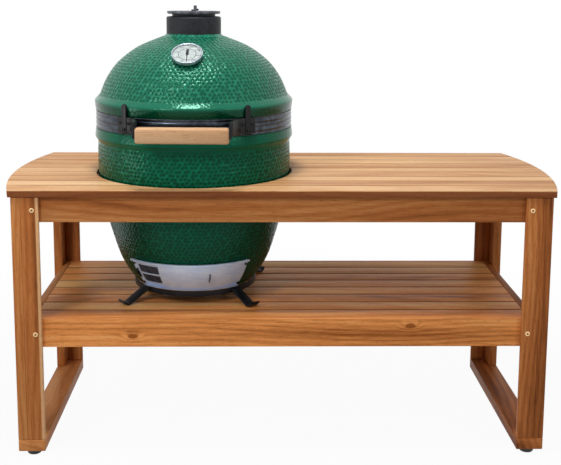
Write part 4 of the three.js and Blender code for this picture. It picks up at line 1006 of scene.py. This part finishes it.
plate_radius = RIM_RADIUS + STRAP_STAND + STRAP_THICKNESS / 2
hook_radius = RIM_RADIUS + LIP_CREST + SEAT
foot_angle = BRACKET_FOOT / plate_radius / 2
clamp_head = headed(button(0.005, 0.0035), 0.0024, 0.002, 30)
clamp_bolts = Piece()
for name, sign in (("left", -1), ("right", 1)):
    turn = np.linspace(BRACKET_ANGLE + foot_angle, BRACKET_ANGLE - foot_angle, 9)
    foot = plate_radius * np.stack([sign * np.sin(turn), -np.cos(turn)], 1)
    side_x = sign * (HANDLE_LENGTH / 2 + SEAT + STRAP_THICKNESS / 2)
    arm = [(side_x, (foot[-1, 1] - HANDLE_REACH) / 2), (side_x, HANDLE_EASE - HANDLE_REACH)]
    plan = np.vstack([foot[:-2], bent(np.vstack([foot[-2:], arm]), STRAP_BEND)])
    path = np.column_stack([plan, np.full(len(plan), STRAP_HEIGHT / 2 - STRAP_DROP)])
    bracket = Piece().tube(in_grill(strap(path, STRAP_HEIGHT, STRAP_THICKNESS)))
    head = circle(HOOK_WIDTH / 2, 32)[:17] + [0, HOOK_HEIGHT - STRAP_DROP - HOOK_WIDTH / 2]
    shape = np.vstack([[(-HOOK_WIDTH / 2, -STRAP_DROP), (HOOK_WIDTH / 2, -STRAP_DROP)], head])
    hook = facing(slab(shape, hook_radius, hook_radius + STRAP_THICKNESS, 0.001), -1, 0)
    bracket.tube(in_grill(about_axis(hook, sign * BRACKET_ANGLE)))
    bracket.make(f"{name}_bracket", "lid", "black_steel", black_steel, f"handle_bracket_{name}")
    for across, level in CLAMP_BOLTS:
        stand = hook_radius + (STRAP_THICKNESS if across == 0 else 0.003)
        place = facing(clamp_head, -1, (across, -stand, level))
        clamp_bolts.tube(in_grill(about_axis(place, sign * BRACKET_ANGLE)))
clamp_bolts.make("clamp_bolts", "lid", "black_steel", black_steel)


# Thermometer. A steel case with a bright bezel is screwed into the lid. Under its glass lie a white
# dial with printed numbers and a black needle that points down when the grill is cold.
CASE_RADIUS = 0.0415
CASE_DEPTH = 0.013
CASE_RIM = 0.003
CASE_BACK = 0.0006
DIAL_RECESS = 0.005
DIAL_THICKNESS = 0.0012
GLASS_THICKNESS = 0.0012
STEM_RADIUS = 0.004
STEM_LENGTH = 0.075
PRINT = 0.00005
PRINT_LINE = 0.0014
NEEDLE = [(-0.0009, -0.032), (0.0009, -0.032), (0.0016, -0.003), (0.0034, 0.0035), (0.0034, 0.020),
          (-0.0034, 0.020), (-0.0034, 0.0035), (-0.0016, -0.003)]
NUMBERS = 8
NUMBER_STEP = math.radians(43)
TICKS = 36
RING_SHARE = 0.59
DIAL_PAPER = colour(176, 186, 184), colour(198, 208, 206)

gauge_joint = next(joint for joint in frame["joints"] if joint["name"] == "needle_turn")
gauge_out = np.array(gauge_joint["axis"], float)
gauge_across = np.array([math.cos(GRILL_TURN), math.sin(GRILL_TURN), 0])
gauge_up = np.cross(gauge_out, gauge_across)


def in_gauge(points):
    """From the thermometer's own axes, across, up its face and out of the lid, to the table's."""
    x, y, z = np.moveaxis(np.asarray(points, float)[..., None], -2, 0)
    return x * gauge_across + y * gauge_up + z * gauge_out + np.array(gauge_joint["pos_m"], float)


def lettering(text, size):
    """Letters of slight thickness about the origin: points, corner numbers and face sizes."""
    curve = bpy.data.curves.new("lettering", "FONT")
    curve.body, curve.size, curve.extrude, curve.resolution_u = text, size, PRINT, 2
    curve.align_x = curve.align_y = "CENTER"
    holder = bpy.data.objects.new("lettering", curve)
    mesh = bpy.data.meshes.new_from_object(holder)
    points = np.empty((len(mesh.vertices), 3), np.float32)
    corners = np.empty(len(mesh.loops), np.int32)
    sizes = np.empty(len(mesh.polygons), np.int32)
    mesh.vertices.foreach_get("co", points.ravel())
    mesh.loops.foreach_get("vertex_index", corners)
    mesh.polygons.foreach_get("loop_total", sizes)
    points, same = np.unique(np.round(points, 7), axis=0, return_inverse=True)
    bpy.data.objects.remove(holder)
    return points.astype(float), same.ravel()[corners], sizes


bright_steel = dark_metal("bright_steel", (colour(160, 168, 180), colour(196, 203, 212)), 0.28, 1.0, 40.0)
face = CASE_BACK + CASE_DEPTH
dial_top = face - DIAL_RECESS
dial_radius = CASE_RADIUS - CASE_RIM - SEAT
bezel, dial_back = CASE_RADIUS - CASE_RIM, dial_top - DIAL_THICKNESS
case_profile = bent([
    (0.0005, -STEM_LENGTH), (STEM_RADIUS, -STEM_LENGTH), (STEM_RADIUS, CASE_BACK), (bezel, CASE_BACK),
    (CASE_RADIUS, CASE_BACK + CASE_RIM), (CASE_RADIUS, face), (bezel, face), (bezel, dial_back),
    (0.0005, dial_back)], 0.0006, 5)
Piece().tube(in_gauge(turned(case_profile, 96))).make(
    "gauge_case", "lid", "bright_steel", bright_steel, "thermometer_case")

dial_paper = mottled("dial_paper", DIAL_PAPER, 500.0, Roughness=0.4)
dial_profile = [(dial_radius, dial_back + SEAT), (dial_radius, dial_top)]
Piece().tube(in_gauge(turned(dial_profile, 96))).make(
    "gauge_dial", "lid", "dial_white", dial_paper, "thermometer_dial")

print_black = dark_metal("dial_print", (colour(8, 8, 9), colour(24, 24, 26)), 0.5, 0.0, 200.0)
prints = Piece()
for i in range(NUMBERS):
    angle = -math.pi / 2 - (i + 0.5) * NUMBER_STEP
    for text, size, share in ((str(50 + 100 * i), 0.0080, 0.80), (str(10 + 50 * i), 0.0045, 0.44)):
        points, corners_of, sizes_of = lettering(text, size)
        reach = dial_radius * share
        points += [reach * math.cos(angle), reach * math.sin(angle), dial_top + PRINT]
        prints.add(in_gauge(points), corners_of, sizes_of)
for i in range(TICKS):
    angle = -math.pi / 2 - (0.5 + (NUMBERS - 1) * i / (TICKS - 1)) * NUMBER_STEP
    shape = rounded((dial_radius * 0.93, -0.0004), (dial_radius * 0.98, 0.0004), 0.0001)
    tick = slab(shape, dial_top, dial_top + 2 * PRINT, PRINT / 2)
    prints.tube(in_gauge(about_axis(tick, angle)))
section = [(dial_radius * RING_SHARE, dial_top), (dial_radius * RING_SHARE + PRINT_LINE, dial_top)]
section += [(radius, dial_top + 2 * PRINT) for radius, _ in section[::-1]]
prints.tube(in_gauge(turned(section, 72)), closed=True)
prints.make("dial_print", "lid", "needle_black", print_black)

hand = Piece().tube(in_gauge(slab(np.array(NEEDLE), dial_top + SEAT, dial_top + SEAT + 0.0008, 0.0002)))
hub = [(0.0042, dial_top + SEAT), (0.0042, dial_top + 0.0018), (0.003, dial_top + 0.0024)]
hand.tube(in_gauge(turned(hub, 32)))
hand.make("gauge_hand", "needle", "needle_black", black_steel, "thermometer_needle")

glass = Finish("gauge_glass", Roughness=0.02, Transmission_Weight=1.0, IOR=1.15, Base_Color=WHITE)
glass_low = face - GLASS_THICKNESS - SEAT
glass_profile = [(dial_radius, glass_low), (dial_radius, glass_low + GLASS_THICKNESS)]
Piece().tube(in_gauge(turned(glass_profile, 96))).make(
    "gauge_glass", "lid", "glass", glass, "thermometer_glass")


# Cast top. An iron cap sits round the collar of the lid. A dished disc swings off it about a bolt at
# its rear, and a wheel with five vents turns on the disc under a screw.
CAP_RADIUS = 0.076
CAP_HEIGHT = 0.053
CAP_MOUTH = 0.052
CAP_WALL = 0.011
COLLAR_RADIUS = 0.060
COLLAR_HEIGHT = 0.007
DISC_RADIUS = 0.074
DISC_THICKNESS = 0.004
DISC_RIM = 0.003
LUG_RADIUS = 0.009
LUG_REACH = 0.079
WHEEL_RADIUS = 0.050
WHEEL_THICKNESS = 0.003
VENTS = 5
VENT_RADIUS = 0.011
VENT_PITCH_RADIUS = 0.031
TAB_HEIGHT = 0.015
TAB_WIDTH = 0.009

cast_iron = dark_metal("cast_iron", (colour(8, 10, 14), colour(26, 30, 36)), 0.5, 0.1, 90.0)
worn_iron = dark_metal("worn_iron", (colour(66, 69, 75), colour(104, 107, 113)), 0.42, 0.5, 70.0)


def in_cap(points):
    return in_grill(np.asarray(points, float) + [0, 0, DOME_HEIGHT + SEAT])


def vent_holes(turn):
    """Clockwise outlines of the five vents."""
    angle = turn + np.arange(VENTS) * 2 * np.pi / VENTS
    middles = VENT_PITCH_RADIUS * np.stack([np.cos(angle), np.sin(angle)], 1)
    return [circle(VENT_RADIUS, 40)[::-1] + middle for middle in middles]


shoulder, neck = NECK_HEIGHT + 2 * SEAT, NECK_RADIUS + 2 * SEAT
collar_top = CAP_HEIGHT + COLLAR_HEIGHT
cap_corners = [
    (neck, shoulder / 2), (neck, 0), (CAP_RADIUS, 0), (CAP_RADIUS, CAP_HEIGHT), (COLLAR_RADIUS, CAP_HEIGHT),
    (COLLAR_RADIUS, collar_top), (CAP_MOUTH, collar_top), (CAP_MOUTH, shoulder + CAP_WALL),
    (THROAT_RADIUS, shoulder), (neck, shoulder), (neck, shoulder / 2)]
cap_eases = np.array([[0.0005], [0.002], [0.006], [0.002], [0.0015], [0.0015], [0.002], [0.001], [0.0005]])
cap = Piece().tube(in_cap(turned(bent(cap_corners, cap_eases)[:-1], 128)), closed=True)
lug_arc = circle(LUG_RADIUS, 48)[:25] + [0, LUG_REACH]
boss_foot = [(-LUG_RADIUS, COLLAR_RADIUS - LUG_RADIUS / 2), (LUG_RADIUS, COLLAR_RADIUS - LUG_RADIUS / 2)]
boss = np.vstack([boss_foot, lug_arc])
cap.tube(in_cap(slab(boss, CAP_HEIGHT - 0.015, collar_top, 0.0015)))
cap.make("iron_cap", "lid", "cast_iron", cast_iron, "chimney_cap")

disc_low = collar_top + SEAT
disc_top = disc_low + DISC_THICKNESS
lug = np.vstack([[(-LUG_RADIUS, DISC_RADIUS * 0.8), (LUG_RADIUS, DISC_RADIUS * 0.8)], lug_arc])
disc_loops = [circle(DISC_RADIUS - DISC_RIM / 2, 128), *vent_holes(0)]
disc = Piece().plate(disc_loops, disc_low, disc_top, 0.0006, in_cap)
rim_in, rim_top = DISC_RADIUS - DISC_RIM, disc_top + DISC_RIM
dish = [
    (rim_in, disc_low), (DISC_RADIUS, disc_low + DISC_RIM), (DISC_RADIUS, rim_top),
    (DISC_RADIUS - 0.001, rim_top), (rim_in, disc_top)]
disc.tube(in_cap(turned(dish, 128)), closed=True)
disc.tube(in_cap(slab(lug, disc_low, disc_top, 0.0006)))
wheel_low = disc_top + SEAT
wheel_top = wheel_low + WHEEL_THICKNESS
disc.tube(in_cap(turned([(0.004, disc_top - 0.001), (0.004, wheel_top + SEAT)], 32)))
screw_shape = (0.0066, 0), (0.007, 0.0008), (0.007, 0.003), (0.0055, 0.0045)
screw_head = [(r, wheel_top + SEAT + z) for r, z in screw_shape]
disc.tube(in_cap(headed(screw_head, 0.0025, 0.002)))
disc.make("slide_disc", "damper", "cast_iron", worn_iron, "damper_disc")

wheel_loops = [circle(WHEEL_RADIUS, 120), *vent_holes(np.pi / VENTS), circle(0.0043, 24)[::-1]]
wheel = Piece().plate(wheel_loops, wheel_low, wheel_top, 0.0006, in_cap)
tab_back = WHEEL_RADIUS - 2 * WHEEL_THICKNESS
tab_low = (-TAB_WIDTH / 2, tab_back, wheel_low)
tab_high = (TAB_WIDTH / 2, tab_back + WHEEL_THICKNESS, wheel_top + TAB_HEIGHT)
wheel.tube(in_cap(bar(tab_low, tab_high, "z", 0.0008)))
wheel.make("vent_wheel", "daisy", "cast_iron", worn_iron, "daisy_wheel")

pivot_top = rim_top + SEAT
bolt = Piece().tube(in_cap(turned([(0.004, CAP_HEIGHT), (0.004, pivot_top + SEAT)], 32) + [0, LUG_REACH, 0]))
pivot_head = [(r, pivot_top + z) for r, z in ((0.0066, 0), (0.007, 0.0006), (0.007, 0.0036), (0.0055, 0.005))]
bolt.tube(in_cap(headed(pivot_head, 0.003, 0.0022) + [0, LUG_REACH, 0]))
bolt.make("rear_bolt", "lid", "black_steel", black_steel, "damper_pivot_bolt")


# Draft door. A C-shaped track of brushed steel is screwed to the front of the base, with two rows of
# windows. A panel with an upright tab slides in it. Behind the windows lies the spark screen, a
# perforated sheet, and its black tab stands at the left.
DOOR_HALF = math.radians(46)
DOOR_TOP = -0.375
DOOR_BOTTOM = -0.459
DOOR_SHEET = 0.0015
DOOR_STAND = 0.0008
CHANNEL_DEPTH = 0.007
CHANNEL_LIP = 0.005
PANEL = math.radians(-22), math.radians(37)
PANEL_SHEET = 0.0016
PANEL_OUT = 0.00345
WINDOW_ANGLES = math.radians(-41), 0.0
WINDOW_LEVELS = [(-0.4405, -0.4165), (-0.4115, -0.3875)]
TAB_ANGLE = math.radians(16)
SCREEN_HOLES = (60, 19)
SCREEN_TAB_ANGLE = math.radians(-43.6)
TAB_SHAPE = [(0.0, -0.014), (0.006, -0.010), (0.0105, 0.0), (0.006, 0.010), (0.0, 0.014)]
DOOR_SCREW_ANGLE = 0.775
DOOR_SCREW_INSET = 0.012
ARC_STEP = math.radians(1.5)
LEVEL_STEP = 0.004
# Partly the steel's own grey, partly painted reflection, which makes it pale and blue.
BRUSHED_STEEL_AND_PAINTED_REFLECTION = colour(180, 206, 246), colour(228, 243, 255)


def base_radius(level):
    """Radius of the base's outside at a height."""
    return np.interp(level, base_body[:, 1], base_body[:, 0])


def on_door(angle, level, out):
    """A point by its angle from the front, its height, and how far it stands off the ceramic."""
    radius = base_radius(level) + DOOR_STAND + out
    spot = np.broadcast_arrays(radius * np.sin(angle), -radius * np.cos(angle), level)
    return in_grill(np.stack(spot, -1))


def stretches(*stops, step):
    """Values from the first stop to the last, at about the step, that pass through every stop."""
    runs = [np.linspace(a, b, max(2, round(abs(b - a) / step) + 1))[:-1] for a, b in zip(stops, stops[1:])]
    return np.concatenate([*runs, stops[-1:]])


screen_steel = dark_metal("screen_steel", (colour(56, 62, 74), colour(84, 92, 108)), 0.4, 0.3, 120.0)
brushed = Finish("brushed_steel", Metallic=0.2, Specular_IOR_Level=0.5)
fibres = brushed.noise(brushed.stretched(brushed.place, (1, 1, 26)), 38.0, 4.0, 0.65)
smudge = brushed.noise(brushed.place, 26.0, 3.0)
steel_tone = fibres * 0.75 + smudge * 0.25
# The steel's tones carry painted reflection.
plain_steel = brushed.either(*BRUSHED_STEEL_AND_PAINTED_REFLECTION, brushed.band(steel_tone, 0.3, 0.72))
# The panel's tab, marked 1, is painted darker: painted shade for the shadow along it.
brushed.set(Base_Color=brushed.either(plain_steel, colour(70, 78, 92), brushed.mark()))
brushed.set(Roughness=fibres * 0.22 + 0.3)
brushed.bump(fibres, 0.0003, 0.25)

door_angles = stretches(-DOOR_HALF, *WINDOW_ANGLES, DOOR_HALF, step=ARC_STEP)
flat_low, flat_high = DOOR_BOTTOM + DOOR_SHEET, DOOR_TOP - DOOR_SHEET
flat_levels = stretches(flat_low, *WINDOW_LEVELS[0], *WINDOW_LEVELS[1], flat_high, step=LEVEL_STEP)
low_lip, high_lip = DOOR_BOTTOM + CHANNEL_LIP, DOOR_TOP - CHANNEL_LIP
inside_level = np.concatenate([[low_lip, flat_levels[0]], flat_levels, [flat_levels[-1], high_lip]])
inside_out = np.concatenate([[CHANNEL_DEPTH] * 2, np.full(len(flat_levels), DOOR_SHEET), [CHANNEL_DEPTH] * 2])
outside_level = inside_level.copy()
outside_level[[1, 2, -3, -2]] = DOOR_BOTTOM, DOOR_BOTTOM, DOOR_TOP, DOOR_TOP
outside_out = np.where(inside_out == CHANNEL_DEPTH, CHANNEL_DEPTH + DOOR_SHEET, 0)
middle_angle = (door_angles[:-1] + door_angles[1:]) / 2
middle_level = (inside_level[:-1] + inside_level[1:]) / 2
in_window = np.any([(middle_level > a) & (middle_level < b) for a, b in WINDOW_LEVELS], 0)
in_window &= (inside_out[:-1] == DOOR_SHEET) & (inside_out[1:] == DOOR_SHEET)
beside = (middle_angle > WINDOW_ANGLES[0]) & (middle_angle < WINDOW_ANGLES[1])
door = Piece().sheet(
    on_door(door_angles[None], inside_level[:, None], inside_out[:, None]),
    on_door(door_angles[None], outside_level[:, None], outside_out[:, None]),
    ~(in_window[:, None] & beside[None]))
door.make("door_track", "root", "bright_steel", brushed, "draft_housing")

across, up = 2 * SCREEN_HOLES[0] + 1, 2 * SCREEN_HOLES[1] + 1
screen_angles = np.linspace(WINDOW_ANGLES[0] - 0.01, WINDOW_ANGLES[1] + 0.01, across + 1)
screen_levels = np.linspace(WINDOW_LEVELS[0][0] - 0.001, WINDOW_LEVELS[1][1] + 0.001, up + 1)
punched = np.outer(np.arange(up) % 2, np.arange(across) % 2) == 1
Piece().sheet(
    on_door(screen_angles[None], screen_levels[:, None], -0.0002),
    on_door(screen_angles[None], screen_levels[:, None], -0.0006), ~punched,
).make("spark_screen", "root", "black_steel", screen_steel)

panel_angles = stretches(*PANEL, step=ARC_STEP)
panel_levels = stretches(flat_low + SEAT, flat_high - SEAT, step=LEVEL_STEP)
panel = Piece().sheet(
    on_door(panel_angles[None], panel_levels[:, None], PANEL_OUT + PANEL_SHEET),
    on_door(panel_angles[None], panel_levels[:, None], PANEL_OUT),
    np.ones((len(panel_levels) - 1, len(panel_angles) - 1), bool))
door_middle = (DOOR_TOP + DOOR_BOTTOM) / 2
door_radius = base_radius(door_middle) + DOOR_STAND


def tab(angle, out, width, height=1.0):
    """A leaf-shaped tab that stands out from the door at an angle from the front."""
    shape = slab(np.array(TAB_SHAPE) * [1, height], -width / 2, width / 2, 0.0004)
    x, y, z = np.moveaxis(shape, -1, 0)
    return on_door(angle - z / door_radius, y + door_middle, out + x)


panel.tube(tab(TAB_ANGLE, PANEL_OUT + PANEL_SHEET / 2, 0.0026, 1.05), 1.0)
panel.make("sliding_panel", "draft", "bright_steel", brushed, "draft_panel")
door_screw = headed(button(0.0036, 0.0022), 0.0014, 0.001, 24)
fittings = Piece().tube(tab(SCREEN_TAB_ANGLE, DOOR_SHEET / 2, 0.005, 1.1))
for angle in (-DOOR_SCREW_ANGLE, DOOR_SCREW_ANGLE):
    for level in (DOOR_BOTTOM + DOOR_SCREW_INSET, DOOR_TOP - DOOR_SCREW_INSET):
        stand = base_radius(level) + DOOR_STAND + DOOR_SHEET
        screw = facing(door_screw, -1, (0, -stand, level))
        fittings.tube(in_grill(about_axis(screw, angle)))
fittings.make("door_fittings", "root", "black_steel", black_steel)


# Lid hinge. Two brackets of black steel are clamped behind the bands, with cheeks about one pin, and
# two torsion springs of round wire push the lid up.
PIN_RADIUS = 0.005
PIN_HEAD = [(0.009, 0), (0.009, 0.004), (0.008, 0.005)]
EYE_RADIUS = 0.017
CHEEK = 0.005
LID_CHEEK = 0.022
BASE_CHEEK = 0.060
LID_MARGIN = 0.010
HINGE_STAND = 0.0036
SPRING_RADIUS = 0.0135
SPRING_WIRE = 0.0045
SPRING_PITCH = 0.0062
SPRING_TURNS = 4.5
SPRING_POINTS = 200

PIN_BACK = math.hypot(hinge["pos_m"][0] - GRILL_AXIS.x, hinge["pos_m"][1] - GRILL_AXIS.y)
plate_front = RIM_RADIUS + HINGE_STAND
plate_back = plate_front + CHEEK


def bracket_behind(name, body, node, levels, offset, margin):
    """A plate on the band with two cheeks, each a tapered ear with a round eye about the pin."""
    made = Piece()
    width = offset + CHEEK
    plate_low, plate_high = (-width - margin, plate_front, levels[0]), (width + margin, plate_back, levels[1])
    made.tube(in_grill(bar(plate_low, plate_high, "x", 0.0012)))
    arc = circle(EYE_RADIUS, 48, -np.pi / 2)[:25]
    root = plate_back - 0.001
    ear = np.vstack([[(root, levels[0])], arc + [PIN_BACK, 0], [(root, levels[1])]])
    bore = circle(PIN_RADIUS + SEAT, 32)[::-1] + [PIN_BACK, 0]
    for x in (-width, offset):
        made.plate([ear, bore], x, x + CHEEK, 0.0008, in_grill, "x")
    made.make(name, body, "black_steel", black_steel, node)


bracket_behind("base_hinge", "root", "hinge_base_bracket", (-RIM_HEIGHT, -JOINT_GAP), BASE_CHEEK, 0.0)
bracket_behind("lid_hinge_ears", "lid", "hinge_lid_bracket", (JOINT_GAP, RIM_HEIGHT), LID_CHEEK, LID_MARGIN)
shaft = BASE_CHEEK + CHEEK + SEAT
pin_end = [(PIN_RADIUS, shaft)] + [(radius, shaft + out) for radius, out in PIN_HEAD]
pin_profile = [(radius, -x) for radius, x in pin_end[::-1]] + pin_end
pin = turned(pin_profile, 40)[..., [2, 0, 1]] + [0, PIN_BACK, 0]
Piece().tube(in_grill(pin)).make("steel_pin", "root", "bright_steel", bright_steel, "hinge_pin")

spring_steel = dark_metal("spring_steel", (colour(110, 112, 116), colour(150, 152, 156)), 0.34, 1.0, 80.0)
spring_start = LID_CHEEK + CHEEK + (BASE_CHEEK - LID_CHEEK - CHEEK - SPRING_TURNS * SPRING_PITCH) / 2
turn_length = 2 * np.pi * SPRING_RADIUS
lower_leg = PIN_BACK - plate_back - SEAT
upper_leg = lower_leg - 0.003
run = np.linspace(0, upper_leg + SPRING_TURNS * turn_length + lower_leg, SPRING_POINTS)
turns = np.clip((run - upper_leg) / turn_length, 0, SPRING_TURNS)
legs = np.maximum(upper_leg - run, 0) + np.maximum(run - upper_leg - SPRING_TURNS * turn_length, 0)
angle = np.pi / 2 - turns * 2 * np.pi
for name, sign in (("left", -1), ("right", 1)):
    back = PIN_BACK + SPRING_RADIUS * np.cos(angle) - legs
    path = np.stack([sign * (spring_start + turns * SPRING_PITCH), back, SPRING_RADIUS * np.sin(angle)], 1)
    wire = carried(path, circle(SPRING_WIRE / 2, 12), (1, 0, 0))
    Piece().tube(in_grill(wire)).make(
        f"{name}_spring", "root", "spring_steel", spring_steel, f"hinge_spring_{name}")


# Stand. A black steel ring under the base's shoulder, carried by four bent straps whose toes turn up.
# It stands on the slats of the shelf, and the base of the grill rests in it.
NEST_LIFT = 0.030
NEST_SHEET = 0.005
NEST_RING = 0.015
NEST_STRAP = 0.030
NEST_FOOT = 0.240
NEST_TURN = math.radians(-3)
NEST_CLEAR = 0.001
NEST_LEGS = 4

low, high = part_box("nest_stand")
ring_high = NEST_LIFT - NEST_SHEET + NEST_RING
ring_in = base_radius(ring_high - NEST_LIFT - BASE_DEPTH + 2 * SEAT) + NEST_CLEAR
nest_steel = dark_metal("stand_steel", (colour(8, 9, 12), colour(24, 27, 33)), 0.4, 0.2)
stand = Piece()
ring_out, ring_low, ring_middle = ring_in + NEST_SHEET, ring_high - NEST_RING, ring_high / 2 + 0.012
band_corners = [
    (ring_in, ring_middle), (ring_in, ring_low), (ring_out, ring_low), (ring_out, ring_high),
    (ring_in, ring_high), (ring_in, ring_middle)]
stand.tube(turned(bent(band_corners, 0.0012)[:-1], 120) + [GRILL_AXIS.x, 0, low.z], closed=True)
leg_line = bent([
    (ring_in + NEST_SHEET / 2, ring_high), (ring_in + 1.5 * NEST_SHEET, ring_high - NEST_SHEET),
    (NEST_FOOT - NEST_SHEET, 0.0045), (NEST_FOOT + 0.003, NEST_SHEET / 2), (NEST_FOOT + 0.009, 0.0045),
    (NEST_FOOT + 0.018, 0.0135)], 0.003)
for i in range(NEST_LEGS):
    angle = NEST_TURN + (i + 0.5) * 2 * np.pi / NEST_LEGS
    outward = np.array([math.cos(angle), math.sin(angle), 0])
    path = leg_line[:, :1] * outward + leg_line[:, 1:] * np.array([0, 0, 1])
    tangent = (-outward[1], outward[0], 0)
    stand.tube(strap(path, NEST_STRAP, NEST_SHEET, tangent) + [GRILL_AXIS.x, 0, low.z])
stand.make("steel_stand", "root", "black_steel", nest_steel, "nest_stand")


# Cooking grid and fire ring. Steel rods in a round rim lie on a ring of pale fireclay, and the ring
# stands on the fire box inside the base.
GRID_RADIUS = 0.222
GRID_ROD = 0.003
GRID_BAR = 0.00225
GRID_BARS = 17
GRID_PITCH_SHARE = 0.1126
CLAY_DRAW = 0.034
CLAY_WALL = 0.020

low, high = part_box("cooking_grid")
grid_level = (low.z + high.z) / 2 - JOINT
profile = circle(GRID_ROD, 12) + [GRID_RADIUS, grid_level]
grid = Piece().tube(in_grill(turned(profile, 96)), closed=True)
for i in range(GRID_BARS):
    y = (i - (GRID_BARS - 1) / 2) * GRID_PITCH_SHARE * GRID_RADIUS
    reach = math.sqrt(GRID_RADIUS ** 2 - y ** 2)
    path = np.array([(-reach, y, grid_level), (0, y, grid_level), (reach, y, grid_level)])
    grid.tube(in_grill(carried(path, circle(GRID_BAR, 12), (0, 0, 1))))
grid.make("rod_grid", "root", "bright_steel", bright_steel, "cooking_grid")

fireclay = dark_metal("fireclay", (colour(168, 150, 126), colour(196, 180, 156)), 0.9, 0.0, 30.0)
low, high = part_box("fire_ring")
clay_out, clay_in = BODY_RADIUS - CLAY_DRAW, BODY_RADIUS - CLAY_DRAW - CLAY_WALL
clay_low, clay_top = low.z - JOINT, high.z - JOINT
clay = [
    (clay_in, clay_low + 0.05), (clay_in, clay_low), (clay_out, clay_low), (clay_out, clay_top),
    (clay_in, clay_top), (clay_in, clay_low + 0.05)]
Piece().tube(in_grill(turned(bent(clay, 0.003)[:-1], 96)), closed=True).make(
    "clay_ring", "root", "fireclay", fireclay, "fire_ring")


# Fire box and grate. They lie deep inside and keep the mesh of their CAD nodes. The box is fireclay and
# stands on the floor of the base. The slotted iron grate lies on a ledge in it.
KEPT = {"fireclay": fireclay, "cast_iron": cast_iron}
slots = {part["node"]: part["material_slot"] for part in frame["record"]["subparts"]}
for node, made in frame["nodes"].items():
    if not made.hide_render:
        finish = KEPT.get(slots.get(node), cast_iron)
        for material_slot in made.material_slots:
            material_slot.material = finish.material

scene.view_layers[0].update()
